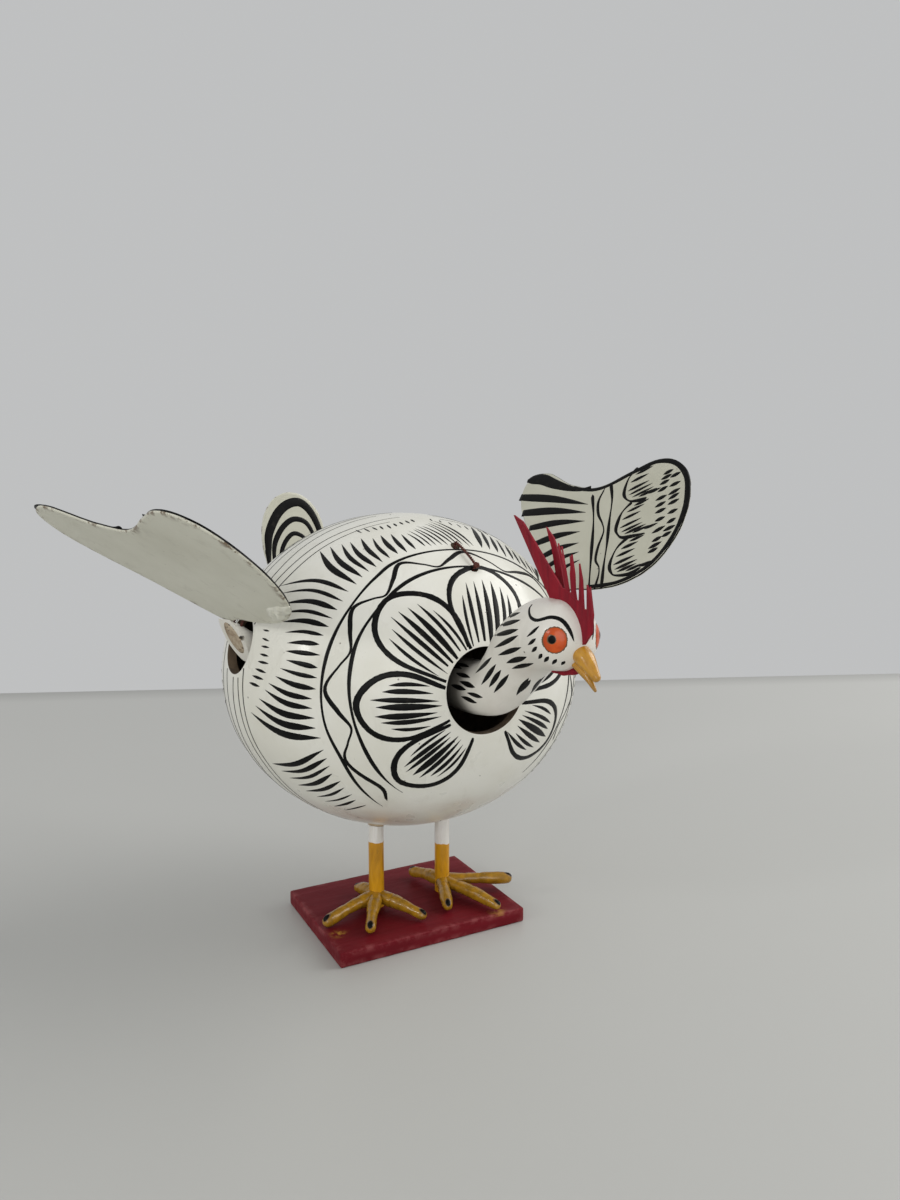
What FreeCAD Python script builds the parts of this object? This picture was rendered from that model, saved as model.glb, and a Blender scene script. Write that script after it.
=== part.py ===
import FreeCAD, Part
import math
import os

# A bobble hen: a hollow painted gourd on two dowel legs and a small board. The head, both
# wings and the tail hang on threads in round holes, so they nod, turn, flap and bob.
# Millimetres, +Z up, origin under the gourd on the face that the board stands on.
# The beak points to -Y, the hen's left is +X and its right is -X.

Vector = FreeCAD.Vector
UP = Vector(0, 0, 1)
RIGHT_SIDE = -1
LEFT_SIDE = 1
SEAM_AZIMUTH = 45

SIZES = {
    "board_width": 66.8,
    "board_depth": 50.3,
    "board_thick": 5.0,
    "board_ease": 0.6,
    "board_middle_x": -2.7,
    "board_middle_y": -7.8,
    "leg_radius": 2.6,
    "leg_fit": 0.05,
    "leg_socket": 3.0,
    "leg_top": 41.0,
    "leg_line_y": -7.5,
    "right_leg_x": -13.1,
    "left_leg_x": 12.2,
    "leg_glue_radius": 4.0,
    "leg_glue_low": 32.6,
    "leg_glue_height": 3.0,
    "toe_root_radius": 2.3,
    "toe_tip_radius": 2.0,
    "toe_pole_radius": 0.2,
    "toe_root_reach": 3.8,
    "toe_root_height": 8.2,
    "gourd_radius": 60.2,
    "gourd_half_height": 52.9,
    "gourd_middle": 86.1,
    "gourd_wall": 3.0,
    "gourd_pole_radius": 1.0,
    "head_hole_radius": 12.8,
    "head_hole_height": 89.0,
    "limb_hole_radius": 9.0,
    "limb_hole_height": 99.0,
    "limb_hole_inset": 16.0,
    "limb_hole_length": 24.0,
    "wing_line_y": -5.5,
    "wing_pivot_reach": 58.2,
    "limb_pivot_height": 102.0,
    "tail_pivot_reach": 58.2,
    "tail_azimuth": 11.0,
    "thread_radius": 0.5,
    "thread_hole_radius": 0.95,
    "thread_bend": 1.3,
    "knot_radius": 1.1,
    "loop_half_width": 5.6,
    "loop_rise": 8.3,
    "loop_knot_reach": 11.6,
    "loop_slant_reach": 3.2,
    "stitch_clearance": 0.6,
    "stitch_end_step": 0.3,
    "stitch_hole_radius": 1.45,
    "stitch_hole_start": 4.0,
    "stitch_hole_length": 20.0,
    "peg_radius": 4.5,
    "peg_drop": 2.6,
    "right_peg_inner": 18.0,
    "left_peg_inner": 20.0,
    "tail_peg_inner": 13.0,
    "right_peg_reach": 9.5,
    "left_peg_reach": 14.0,
    "tail_peg_reach": 16.0,
    "peg_eye_radius": 0.8,
    "peg_cut_angle": 32.0,
    "right_peg_tilt": 34.0,
    "left_peg_tilt": 42.0,
    "tail_peg_tilt": 14.0,
    "blade_thick": 1.1,
    "right_blade_slope": 39.4,
    "right_blade_heading": -22.1,
    "right_blade_turn": 0.0,
    "right_blade_lift": 2.0,
    "blade_seat_start": 2.5,
    "left_blade_slope": 59.8,
    "left_blade_heading": 11.7,
    "left_blade_turn": 56.3,
    "left_blade_lift": -1.0,
    "tail_blade_slope": 80.0,
    "tail_root_reach": 10.0,
    "tail_root_drop": 4.0,
    "wing_clay_radius": 5.4,
    "wing_clay_half_height": 10.5,
    "right_clay_reach": 12.9,
    "left_clay_reach": 12.9,
    "wing_clay_drop": 25.0,
    "tail_clay_radius": 3.3,
    "tail_clay_half_height": 11.0,
    "tail_clay_reach": 7.8,
    "tail_clay_drop": 18.5,
    "neck_radius": 8.5,
    "neck_bend": 18.0,
    "skull_radius": 9.5,
    "skull_half_length": 10.2,
    "skull_reach": 95.7,
    "skull_height": 110.0,
    "head_pivot_y": -38.0,
    "head_pivot_height": 100.2,
    "staple_radius": 2.4,
    "wire_radius": 0.4,
    "hanger_ring_radius": 1.5,
    "hanger_top": 114.2,
    "stitch_knot_height": 115.6,
    "head_clay_radius": 11.2,
    "head_clay_y": -13.4,
    "head_clay_height": 86.0,
    "beak_root_radius": 2.7,
    "beak_tip_radius": 0.5,
    "jaw_root_radius": 1.7,
    "jaw_tip_radius": 0.4,
    "comb_thick": 0.5,
    "comb_splay": 9.0,
    "comb_gap": 0.15,
    "comb_foot_height": 112.0,
    "wattle_thick": 0.7,
    "wattle_length": 15.0,
    "wattle_height": 3.0,
    "wattle_front": -105.0,
    "wattle_low": 98.6,
    "staple_leg": 6.0,
}

# The wing blade in its own plane: outward from the thread, then backward. The outer tip comes
# first, then the hollow front edge, the broad front lobe, the root and the rear edge.
WING_OUTLINE = [
    (68.0, 0.5), (65.0, -7.5), (52.0, -17.0), (43.0, -28.5), (41.3, -44.0), (39.8, -54.0),
    (34.0, -61.0), (24.5, -63.5), (12.0, -60.0), (2.0, -52.5), (-4.3, -42.0), (-5.0, -30.0),
    (-1.5, -19.0), (3.2, -10.0), (4.4, -3.5), (11.0, -0.5), (31.0, 3.5), (47.0, 7.2),
    (58.0, 8.3), (65.5, 5.6),
]

# Half of the tail fan in its own plane: sideways, then up from its root.
TAIL_HALF_OUTLINE = [(6.5, 0.0), (10.5, 12.0), (14.2, 26.0), (13.4, 38.0), (8.0, 46.5)]
TAIL_TOP = 49.5
TAIL_FOOT = -1.5

# Blocks this wide shape the seat where a blade is glued into its peg.
SEAT_SPAN = 60.0

# Toe tips of each foot, outermost toe of that foot first, the rear toe last.
TOE_TIPS = {
    "right": [("outer", (-33.6, -15.2, 7.2)), ("middle", (-23.0, -25.6, 7.2)),
              ("inner", (-4.6, -25.4, 7.2)), ("rear", (-15.5, 3.2, 7.2))],
    "left": [("outer", (32.8, -18.0, 9.2)), ("middle", (20.6, -31.0, 7.4)),
             ("inner", (6.2, -23.4, 7.2)), ("rear", (7.2, 5.6, 7.6))],
}

# One comb leaf seen from the side: forward along the skull, then up. It runs from the front
# foot over six teeth to the long strip at the rear and back along the skull.
COMB_OUTLINE = [
    (106.2, 111.0), (106.0, 124.5), (104.4, 118.8), (102.6, 128.6), (101.2, 120.6),
    (99.0, 130.8), (98.2, 121.8), (94.2, 133.0), (94.8, 122.8), (88.7, 136.8),
    (90.8, 124.2), (74.4, 140.2), (76.6, 136.6), (92.6, 116.6),
]

# The middle line of the neck, from its balanced rear end inside the gourd up to the skull:
# along -Y, then up.
NECK_LINE = [(25.0, 88.0), (62.5, 89.0), (78.0, 105.0)]
SKULL_AIM = (0, -0.8, -0.25)

# Root and tip of each half of the beak, as points on the hen's middle plane: along -Y, then up.
UPPER_BEAK = [(101.5, 109.0), (112.4, 101.4)]
LOWER_BEAK = [(100.5, 105.2), (110.4, 98.9)]

# Where the head's thread goes through the gourd: angle from the front pole, angle from +X.
STITCH_ANGLES = {"front": (45.0, 82.6), "rear": (56.3, 86.2)}

doc = FreeCAD.newDocument("bobble_hen")
sheet = doc.addObject("Spreadsheet::Sheet", "Sizes")
nodes = []


def fill_sheet():
    for row, (alias, value) in enumerate(SIZES.items(), start=1):
        sheet.set(f"A{row}", alias)
        sheet.set(f"B{row}", str(value))
        sheet.setAlias(f"B{row}", alias)
    doc.recompute()


def size(alias):
    return float(sheet.get(alias))


def bind(item, **links):
    for prop, expression in links.items():
        item.setExpression(prop, expression)
    return item


def place(item, base, rotation=None):
    item.Placement = FreeCAD.Placement(base, rotation or FreeCAD.Rotation())
    return item


def node(item, name):
    item.Label = name
    nodes.append(item)
    return item


def along(direction):
    return FreeCAD.Rotation(UP, direction)


def axes(x_axis, y_axis):
    return FreeCAD.Rotation(x_axis, y_axis, x_axis.cross(y_axis), "XYZ")


def cylinder(name, base, direction, radius, height):
    item = doc.addObject("Part::Cylinder", name)
    bind(item, Radius=radius, Height=height)
    return place(item, base, along(direction))


def sphere(name, centre, radius):
    """A ball whose seam is turned away from whatever runs into it along X or Y."""
    item = doc.addObject("Part::Sphere", name)
    bind(item, Radius=radius)
    return place(item, centre, FreeCAD.Rotation(UP, SEAM_AZIMUTH))


def cone(name, base, tip, base_radius, tip_radius):
    item = doc.addObject("Part::Cone", name)
    bind(item, Radius1=base_radius, Radius2=tip_radius)
    item.Height = (tip - base).Length
    return place(item, base, along(tip - base))


def ellipsoid(name, centre, half_height, radius):
    item = doc.addObject("Part::Ellipsoid", name)
    bind(item, Radius1=half_height, Radius2=radius, Radius3=radius)
    return place(item, centre)


def block(name, foot, normal, forward, spans):
    """A block that stands on a plane, with the middle of its foot at a point of it."""
    item = doc.addObject("Part::Box", name)
    item.Length, item.Width, item.Height = spans
    across = normal.cross(forward)
    corner = foot - forward * (spans[0] / 2) - across * (spans[1] / 2)
    return place(item, corner, axes(forward, across))


def middle_plane(point):
    """A point on the hen's middle plane, from its distance along -Y and its height."""
    return Vector(0, -point[0], point[1])


def fuse(name, items):
    item = doc.addObject("Part::MultiFuse", name)
    item.Shapes = items
    return item


def cut(name, base, tools):
    """The base with each tool cut away in turn."""
    for number, tool in enumerate(tools, start=1):
        item = doc.addObject("Part::Cut", f"{name}_{number}")
        item.Base = base
        item.Tool = tool
        base = item
    return base


def plane_sketch(body, name, role, edges):
    sketch = body.newObject("Sketcher::SketchObject", name)
    origin = [f for f in body.Origin.OriginFeatures if f.Role == role][0]
    sketch.AttachmentSupport = [(origin, "")]
    sketch.MapMode = "FlatFace"
    sketch.addGeometry(edges, False)
    return sketch


def padded_body(name, edges, thickness):
    body = doc.addObject("PartDesign::Body", name + "_plate")
    pad = body.newObject("PartDesign::Pad", name + "_pad")
    pad.Profile = plane_sketch(body, name + "_outline", "XY_Plane", edges)
    bind(pad, Length=thickness)
    doc.recompute()
    return body


def turned_body(name, edges):
    """A body turned about its upright axis from the edges of half its section."""
    body = doc.addObject("PartDesign::Body", name)
    turned = body.newObject("PartDesign::Revolution", name + "_turned")
    turned.Profile = plane_sketch(body, name + "_section", "XZ_Plane", edges)
    turned.ReferenceAxis = (turned.Profile[0], ["V_Axis"])
    turned.Angle = 360
    doc.recompute()
    return body


def closed_curve(points):
    curve = Part.BSplineCurve()
    curve.interpolate(Points=[Vector(x, y, 0) for x, y in points], PeriodicFlag=True)
    return [curve]


def closed_polygon(points):
    corners = [Vector(x, y, 0) for x, y in points]
    following = corners[1:] + corners[:1]
    return [Part.LineSegment(a, b) for a, b in zip(corners, following)]


def rounded_path(points, bend):
    """A wire of straight runs, joined at the inner points by tangent arcs."""
    edges = []
    start = points[0]
    for before, corner, after in zip(points, points[1:], points[2:]):
        back = (before - corner).normalize()
        onward = (after - corner).normalize()
        half = back.getAngle(onward) / 2
        trim = bend / math.tan(half)
        middle = (back + onward).normalize() * (bend / math.sin(half) - bend)
        arc_start = corner + back * trim
        arc_end = corner + onward * trim
        edges.append(Part.LineSegment(start, arc_start).toShape())
        edges.append(Part.Arc(arc_start, corner + middle, arc_end).toShape())
        start = arc_end
    edges.append(Part.LineSegment(start, points[-1]).toShape())
    return Part.Wire(edges)


def tube(name, points, radius, bend):
    """A round tube along a rounded path, as a plain shape."""
    path = rounded_path(points, bend)
    run = points[1] - points[0]
    circle = Part.Circle(points[0], run, radius)
    profile = Part.Wire([circle.toShape()])
    swept = path.makePipeShell([profile], True, False)
    expected = math.pi * radius ** 2 * path.Length
    if abs(swept.Volume - expected) > 0.03 * expected:
        raise RuntimeError(f"{name}: tube volume {swept.Volume:.2f}, expected {expected:.2f}")
    item = doc.addObject("Part::Feature", name)
    item.Shape = swept
    return item


def make_board():
    half_width = size("board_width") / 2
    half_depth = size("board_depth") / 2
    corners = [(-half_width, -half_depth), (half_width, -half_depth),
               (half_width, half_depth), (-half_width, half_depth)]
    body = padded_body("base_board", closed_polygon(corners), "Sizes.board_thick")
    pad = body.Tip
    chamfer = body.newObject("PartDesign::Chamfer", "board_edges")
    chamfer.Base = (pad, board_edges(pad))
    bind(chamfer, Size="Sizes.board_ease")
    body.Tip = chamfer
    place(body, Vector(size("board_middle_x"), size("board_middle_y"), 0))
    sockets = [leg_cylinder(side + "_leg_socket", side, "Sizes.leg_radius + Sizes.leg_fit")
               for side in ("right", "left")]
    return node(cut("drilled_board", body, sockets), "base_board")


def board_edges(pad):
    """The four upright edges and the four upper edges of the padded board."""
    names = []
    for number, edge in enumerate(pad.Shape.Edges, start=1):
        if edge.BoundBox.ZMax > size("board_thick") / 2:
            names.append(f"Edge{number}")
    return names


def leg_cylinder(name, side, radius):
    foot = size("board_thick") - size("leg_socket")
    base = Vector(size(side + "_leg_x"), size("leg_line_y"), foot)
    height = "Sizes.leg_top - Sizes.board_thick + Sizes.leg_socket"
    return cylinder(name, base, UP, radius, height)


def make_leg(side):
    return node(leg_cylinder(side + "_dowel", side, "Sizes.leg_radius"), side + "_leg")


def make_leg_glue(side, leg):
    base = Vector(size(side + "_leg_x"), size("leg_line_y"), size("leg_glue_low"))
    bead = cylinder(side + "_glue_bead", base, UP, "Sizes.leg_glue_radius",
                    "Sizes.leg_glue_height")
    edges, pole = half_section(0)
    skin = gourd_body(side + "_glue_skin", edges + [upright_line(-pole, pole)])
    return node(cut(side + "_glue_ring", bead, [leg, skin]), side + "_leg_glue")


def rounded_bar(name, root, end):
    """A round tapering roll of paste with ball ends, each with a small flat at its pole."""
    length = (end - root).Length
    flat = size("toe_pole_radius")
    edges = []
    poles = []
    for radius, middle, way in ((size("toe_root_radius"), 0, -1),
                                (size("toe_tip_radius"), length, 1)):
        angle = math.acos(flat / radius)
        pole = middle + way * radius * math.sin(angle)
        ball = Part.Circle(Vector(0, middle, 0), Vector(0, 0, 1), radius)
        edges.append(Part.ArcOfCircle(ball, *sorted((0, way * angle))))
        edges.append(Part.LineSegment(Vector(flat, pole, 0), Vector(0, pole, 0)))
        poles.append(pole)
    side = Part.LineSegment(Vector(size("toe_root_radius"), 0, 0),
                            Vector(size("toe_tip_radius"), length, 0))
    roll = turned_body(name, edges + [side, upright_line(*poles)])
    return place(roll, root, along(end - root))


def make_foot(side, board, leg):
    """Four paste toes, pressed on to the leg and the board, and each front toe on to the next."""
    centre = Vector(size(side + "_leg_x"), size("leg_line_y"), 0)
    neighbour = []
    for toe, tip in TOE_TIPS[side]:
        name = f"{side}_{toe}_toe"
        end = Vector(*tip)
        outward = Vector(end.x - centre.x, end.y - centre.y, 0).normalize()
        root = centre + outward * size("toe_root_reach") + UP * size("toe_root_height")
        roll = rounded_bar(name + "_roll", root, end)
        if toe == "rear":
            neighbour = []
        neighbour = [node(cut(name + "_pressed", roll, [board, leg] + neighbour), name)]


def half_section(inset):
    """Half of the gourd's section, or of its hollow's: an elliptical arc and its flat poles."""
    wide = size("gourd_radius") - inset
    high = size("gourd_half_height") - inset
    flat = size("gourd_pole_radius")
    end = math.acos(flat / wide)
    pole = high * math.sin(end)
    ellipse = Part.Ellipse(Vector(wide, 0, 0), Vector(0, high, 0), Vector(0, 0, 0))
    edges = [Part.ArcOfEllipse(ellipse, -end, end)]
    for level in (pole, -pole):
        edges.append(Part.LineSegment(Vector(flat, level, 0), Vector(0, level, 0)))
    return edges, pole


def gourd_body(name, edges):
    """The gourd's form at its place, turned so that its seam lies between the holes."""
    body = turned_body(name, edges)
    centre = Vector(0, 0, size("gourd_middle"))
    return place(body, centre, FreeCAD.Rotation(UP, SEAM_AZIMUTH))


def upright_line(low, high):
    return Part.LineSegment(Vector(0, low, 0), Vector(0, high, 0))


def wing_pivot(side):
    return Vector(side * size("wing_pivot_reach"), size("wing_line_y"), size("limb_pivot_height"))


def tail_outward():
    azimuth = math.radians(size("tail_azimuth"))
    return Vector(-math.sin(azimuth), math.cos(azimuth), 0)


def tail_pivot():
    return tail_outward() * size("tail_pivot_reach") + UP * size("limb_pivot_height")


def limb_holes(name, pivot, outward):
    """The round hole that a limb hangs in, and the two small holes of its thread."""
    sideways = UP.cross(outward)
    level = size("limb_hole_height") - size("limb_pivot_height")
    inner = pivot - outward * size("limb_hole_inset")
    holes = [cylinder(name + "_hole", inner + UP * level, outward,
                      "Sizes.limb_hole_radius", "Sizes.limb_hole_length")]
    for end in (-1, 1):
        start = inner + sideways * (end * size("loop_half_width")) + UP * size("loop_rise")
        holes.append(cylinder(f"{name}_thread_hole_{'ab'[end > 0]}", start, outward,
                              "Sizes.thread_hole_radius", "Sizes.limb_hole_length"))
    return holes


def stitch_points():
    """The head thread's knot, and the two points where it lies on the gourd's outside."""
    knot = Vector(0, size("head_pivot_y"), size("stitch_knot_height"))
    lift = size("thread_radius") + size("stitch_clearance")
    front, rear = (on_gourd(*STITCH_ANGLES[label], lift) for label in ("front", "rear"))
    return knot, front, rear


def on_gourd(from_front, around, lift):
    """A point above the gourd's skin, by its angles from the front and round from +X."""
    tilt = math.radians(from_front)
    turn = math.radians(around)
    radius = size("gourd_radius") + lift
    half_height = size("gourd_half_height") + lift
    sideways = radius * math.sin(tilt) * math.cos(turn)
    upward = half_height * math.sin(tilt) * math.sin(turn)
    return Vector(sideways, -radius * math.cos(tilt), size("gourd_middle") + upward)


def stitch_holes():
    knot, front, rear = stitch_points()
    holes = []
    for label, point in (("front", front), ("rear", rear)):
        way = (point - knot).normalize()
        start = knot + way * size("stitch_hole_start")
        holes.append(cylinder(f"stitch_hole_{label}", start, way,
                              "Sizes.stitch_hole_radius", "Sizes.stitch_hole_length"))
    return holes


def make_gourd():
    outer, outer_pole = half_section(0)
    inner, inner_pole = half_section(size("gourd_wall"))
    caps = [upright_line(inner_pole, outer_pole), upright_line(-outer_pole, -inner_pole)]
    skin = gourd_body("gourd_wall_body", outer + inner + caps)
    mouth = Vector(0, -size("gourd_radius"), size("head_hole_height"))
    tools = [cylinder("head_hole", mouth, Vector(0, 1, 0), "Sizes.head_hole_radius",
                      "Sizes.limb_hole_length")]
    tools += limb_holes("right_wing", wing_pivot(RIGHT_SIDE), Vector(-1, 0, 0))
    tools += limb_holes("left_wing", wing_pivot(LEFT_SIDE), Vector(1, 0, 0))
    tools += limb_holes("tail", tail_pivot(), tail_outward())
    tools += stitch_holes()
    for side in ("right", "left"):
        tools.append(leg_cylinder(side + "_leg_hole", side, "Sizes.leg_radius + Sizes.leg_fit"))
    shell = cut("drilled_gourd", skin, tools)
    doc.recompute()
    for tool in tools:
        if shell.Shape.common(tool.Shape).Volume > 0.01:
            raise RuntimeError(f"{tool.Name} isn't cut through the gourd")
    return node(shell, "gourd_shell")


def make_limb_thread(name, pivot, outward):
    """A thread through the limb's eye and up to two knots inside the gourd."""
    sideways = UP.cross(outward)
    rise = size("loop_rise")
    leg = [(-size("loop_knot_reach"), rise), (-size("loop_slant_reach"), rise), (0.0, 0.0)]
    points = []
    for reach, level in leg:
        points.append(pivot + outward * reach - sideways * size("loop_half_width") + UP * level)
    for reach, level in reversed(leg):
        points.append(pivot + outward * reach + sideways * size("loop_half_width") + UP * level)
    loop = tube(name + "_loop", points, size("thread_radius"), size("thread_bend"))
    knots = [sphere(f"{name}_knot_{'ab'[k]}", points[-k], "Sizes.knot_radius") for k in (0, 1)]
    return node(fuse(name + "_tied", [loop] + knots), name)


def peg_axis(outward, tilt):
    angle = math.radians(tilt)
    axis = outward * math.cos(angle) + UP * math.sin(angle)
    over = UP * math.cos(angle) - outward * math.sin(angle)
    return axis, over


def make_peg(name, pivot, outward, tilt, spans, seat):
    """A whittled peg: an eye for the thread, a slanted outer end and a seat for the blade."""
    axis, over = peg_axis(outward, tilt)
    middle = pivot - over * size("peg_drop")
    inner, reach = spans
    start = middle - axis * inner
    bar = cylinder(name + "_bar", start, axis, "Sizes.peg_radius", f"{inner + reach}")
    sideways = UP.cross(outward)
    wide = 2 * size("peg_radius")
    eye = cylinder(name + "_eye", pivot - sideways * wide, sideways, "Sizes.peg_eye_radius",
                   "Sizes.peg_radius * 4")
    slant = math.radians(size("peg_cut_angle"))
    top = middle + axis * reach + over * size("peg_radius")
    face = axis * math.cos(slant) + over * math.sin(slant)
    away = axis * math.sin(slant) - over * math.cos(slant)
    end = block(name + "_slant", top, away, face, (8 * wide, 2 * wide, 3 * wide))
    return node(cut(name + "_whittled", bar, [eye, end, seat]), name)


def blade_axes(side, slope, heading, turn):
    """The blade's outward and backward axes and its upper normal, for a sloping blade."""
    tilt, aim, spin = (math.radians(a) for a in (slope, heading, turn))
    normal = Vector(-math.sin(tilt) * math.cos(aim), -math.sin(tilt) * math.sin(aim),
                    math.cos(tilt))
    across = Vector(1, 0, 0) - normal * normal.x
    across.normalize()
    back = normal.cross(across)
    outward = across * math.cos(spin) + back * math.sin(spin)
    backward = back * math.cos(spin) - across * math.sin(spin)
    return [Vector(side * v.x, v.y, v.z) for v in (outward, backward, normal)]


def make_wing(word, side):
    pivot = wing_pivot(side)
    outward = Vector(side, 0, 0)
    slope, heading, turn, lift = (size(f"{word}_blade_{k}")
                                  for k in ("slope", "heading", "turn", "lift"))
    length, back, normal = blade_axes(side, slope, heading, turn)
    underside = pivot + normal * (lift - size("blade_thick") / 2)
    rotation = axes(length, back)
    flipped = length.cross(back).dot(normal) < 0
    base = underside + normal * (size("blade_thick") if flipped else 0)
    blade = padded_body(word + "_wing_blade", closed_curve(WING_OUTLINE), "Sizes.blade_thick")
    place(blade, base, rotation)
    node(blade, word + "_wing_blade")
    foot = underside + length * (size("blade_seat_start") + SEAT_SPAN / 2)
    seat = block(word + "_seat", foot, normal, length, (SEAT_SPAN, SEAT_SPAN, SEAT_SPAN))
    spans = (size(word + "_peg_inner"), size(word + "_peg_reach"))
    peg = make_peg(word + "_wing_peg", pivot, outward, size(word + "_peg_tilt"), spans, seat)
    make_weight(word + "_wing", "wing", pivot - outward * size(word + "_clay_reach"), peg)
    make_limb_thread(word + "_wing_thread", pivot, outward)


def make_weight(name, kind, above, peg):
    """The lump of clay under a peg's inner end, which balances the limb."""
    centre = above - UP * size(kind + "_clay_drop")
    lump = ellipsoid(name + "_lump", centre, f"Sizes.{kind}_clay_half_height",
                     f"Sizes.{kind}_clay_radius")
    return node(cut(name + "_pressed_lump", lump, [peg]), name + "_weight")


def make_tail():
    pivot = tail_pivot()
    outward = tail_outward()
    sideways = outward.cross(UP)
    slope = math.radians(size("tail_blade_slope"))
    upward = outward * math.cos(slope) + UP * math.sin(slope)
    inward = sideways.cross(upward)
    root = pivot + outward * size("tail_root_reach") - UP * size("tail_root_drop")
    mirrored = [(-x, y) for x, y in reversed(TAIL_HALF_OUTLINE)]
    outline = TAIL_HALF_OUTLINE + [(0.0, TAIL_TOP)] + mirrored + [(0.0, TAIL_FOOT)]
    fan = padded_body("tail_fan", closed_curve(outline), "Sizes.blade_thick")
    place(fan, root, axes(sideways, upward))
    node(fan, "tail_fan")
    face = root + inward * size("blade_thick")
    seat = block("tail_seat", face, -inward, sideways, (SEAT_SPAN, SEAT_SPAN, SEAT_SPAN))
    spans = (size("tail_peg_inner"), size("tail_peg_reach"))
    peg = make_peg("tail_peg", pivot, outward, size("tail_peg_tilt"), spans, seat)
    make_weight("tail", "tail", pivot - outward * size("tail_clay_reach"), peg)
    make_limb_thread("tail_thread", pivot, outward)


def make_head():
    """The carved head and neck: a bent round bar with a rounded skull at its upper end."""
    centre = middle_plane((size("skull_reach"), size("skull_height")))
    path = [middle_plane(point) for point in NECK_LINE] + [centre]
    neck = tube("neck_bar", path, size("neck_radius"), size("neck_bend"))
    skull = ellipsoid("skull", centre, "Sizes.skull_half_length", "Sizes.skull_radius")
    place(skull, centre, along(Vector(*SKULL_AIM)))
    return node(fuse("carved_head", [neck, skull]), "head")


def make_beak(head):
    root, tip = (middle_plane(point) for point in UPPER_BEAK)
    beak = cone("upper_beak_cone", root, tip, "Sizes.beak_root_radius", "Sizes.beak_tip_radius")
    upper = node(cut("upper_beak_fitted", beak, [head]), "upper_beak")
    root, tip = (middle_plane(point) for point in LOWER_BEAK)
    jaw = cone("lower_beak_cone", root, tip, "Sizes.jaw_root_radius", "Sizes.jaw_tip_radius")
    lower = node(cut("lower_beak_fitted", jaw, [head, upper]), "lower_beak")
    return upper, lower


def make_comb(head):
    """Two toothed leaves on the crown that lean apart from a hair's gap between them."""
    foot = size("comb_foot_height")
    for word, side in (("right", RIGHT_SIDE), ("left", LEFT_SIDE)):
        name = f"comb_{word}_leaf"
        leaf = padded_body(name, closed_polygon([(-y, z - foot) for y, z in COMB_OUTLINE]),
                           "Sizes.comb_thick")
        splay = FreeCAD.Rotation(Vector(0, 1, 0), side * size("comb_splay"))
        upright = axes(Vector(0, 1, 0), UP)
        inner = side * size("comb_gap") - (size("comb_thick") if side == RIGHT_SIDE else 0)
        place(leaf, Vector(inner, 0, foot), splay.multiply(upright))
        node(cut(name + "_fitted", leaf, [head]), name)


def make_wattle(head, jaws):
    strip = doc.addObject("Part::Box", "wattle_strip")
    bind(strip, Length="Sizes.wattle_thick", Width="Sizes.wattle_length",
         Height="Sizes.wattle_height")
    place(strip, Vector(-size("wattle_thick") / 2, size("wattle_front"), size("wattle_low")))
    return node(cut("wattle_fitted", strip, [head, *jaws]), "wattle")


def make_staple():
    """The wire eye on the neck that the thread's ring hangs through."""
    top = Vector(0, size("head_pivot_y"), size("head_pivot_height"))
    crown = size("staple_radius")
    arch = doc.addObject("Part::Torus", "staple_arch")
    bind(arch, Radius1="Sizes.staple_radius", Radius2="Sizes.wire_radius")
    arch.Angle3 = 180
    centre = top - UP * crown
    place(arch, centre, FreeCAD.Rotation(Vector(1, 0, 0), 90))
    foot = centre - UP * size("staple_leg")
    legs = [cylinder(f"staple_leg_{label}", foot + Vector(side * crown, 0, 0), UP,
                     "Sizes.wire_radius", "Sizes.staple_leg")
            for label, side in (("right", RIGHT_SIDE), ("left", LEFT_SIDE))]
    return node(fuse("staple_wire", [arch] + legs), "neck_staple")


def make_hanger():
    """The head's hanging thread, ending in a ring through the staple."""
    top = Vector(0, size("head_pivot_y"), size("head_pivot_height"))
    centre = top + UP * size("thread_radius")
    ring = doc.addObject("Part::Torus", "hanger_ring")
    bind(ring, Radius1="Sizes.hanger_ring_radius", Radius2="Sizes.thread_radius")
    place(ring, centre, FreeCAD.Rotation(Vector(0, 1, 0), 90))
    foot = centre + UP * size("hanger_ring_radius")
    cord = cylinder("hanger_cord", foot, UP, "Sizes.thread_radius",
                    f"Sizes.hanger_top - {foot.z}")
    return node(fuse("hanger_thread", [ring, cord]), "head_hanger")


def make_head_weight(head):
    centre = Vector(0, size("head_clay_y"), size("head_clay_height"))
    ball = sphere("head_clay", centre, "Sizes.head_clay_radius")
    return node(cut("head_clay_pressed", ball, [head]), "head_weight")


def make_stitch():
    knot, front, rear = stitch_points()
    end = knot + Vector(0, size("stitch_end_step"), 0)
    loop = tube("stitch_loop", [knot, front, rear, end], size("thread_radius"),
                size("thread_bend"))
    tied = fuse("stitch_tied", [loop, sphere("stitch_knot", knot, "Sizes.knot_radius")])
    return node(tied, "head_stitch")


def check_and_export():
    doc.recompute()
    for item in doc.Objects:
        if "Invalid" in item.State or "Error" in item.State:
            raise RuntimeError(f"{item.Name} failed: {item.State}")
    os.makedirs("parts", exist_ok=True)
    for item in nodes:
        shape = item.Shape
        if shape.isNull() or not shape.isValid() or len(shape.Solids) != 1:
            raise RuntimeError(f"{item.Label}: bad shape, {len(shape.Solids)} solids")
        shape.exportStep(f"parts/{item.Label}.step")
        print(f"{item.Label:20s} {shape.Volume:9.1f} mm3")


def make_hen():
    board = make_board()
    for side in ("right", "left"):
        leg = make_leg(side)
        make_leg_glue(side, leg)
        make_foot(side, board, leg)
    make_gourd()
    head = make_head()
    jaws = make_beak(head)
    make_comb(head)
    make_wattle(head, jaws)
    make_staple()
    make_head_weight(head)
    make_hanger()
    make_stitch()
    make_wing("right", RIGHT_SIDE)
    make_wing("left", LEFT_SIDE)
    make_tail()


fill_sheet()
make_hen()
check_and_export()
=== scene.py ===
import math
import random

import bmesh
import bpy
import numpy as np
from mathutils import Matrix, Vector
from mathutils.bvhtree import BVHTree


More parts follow.
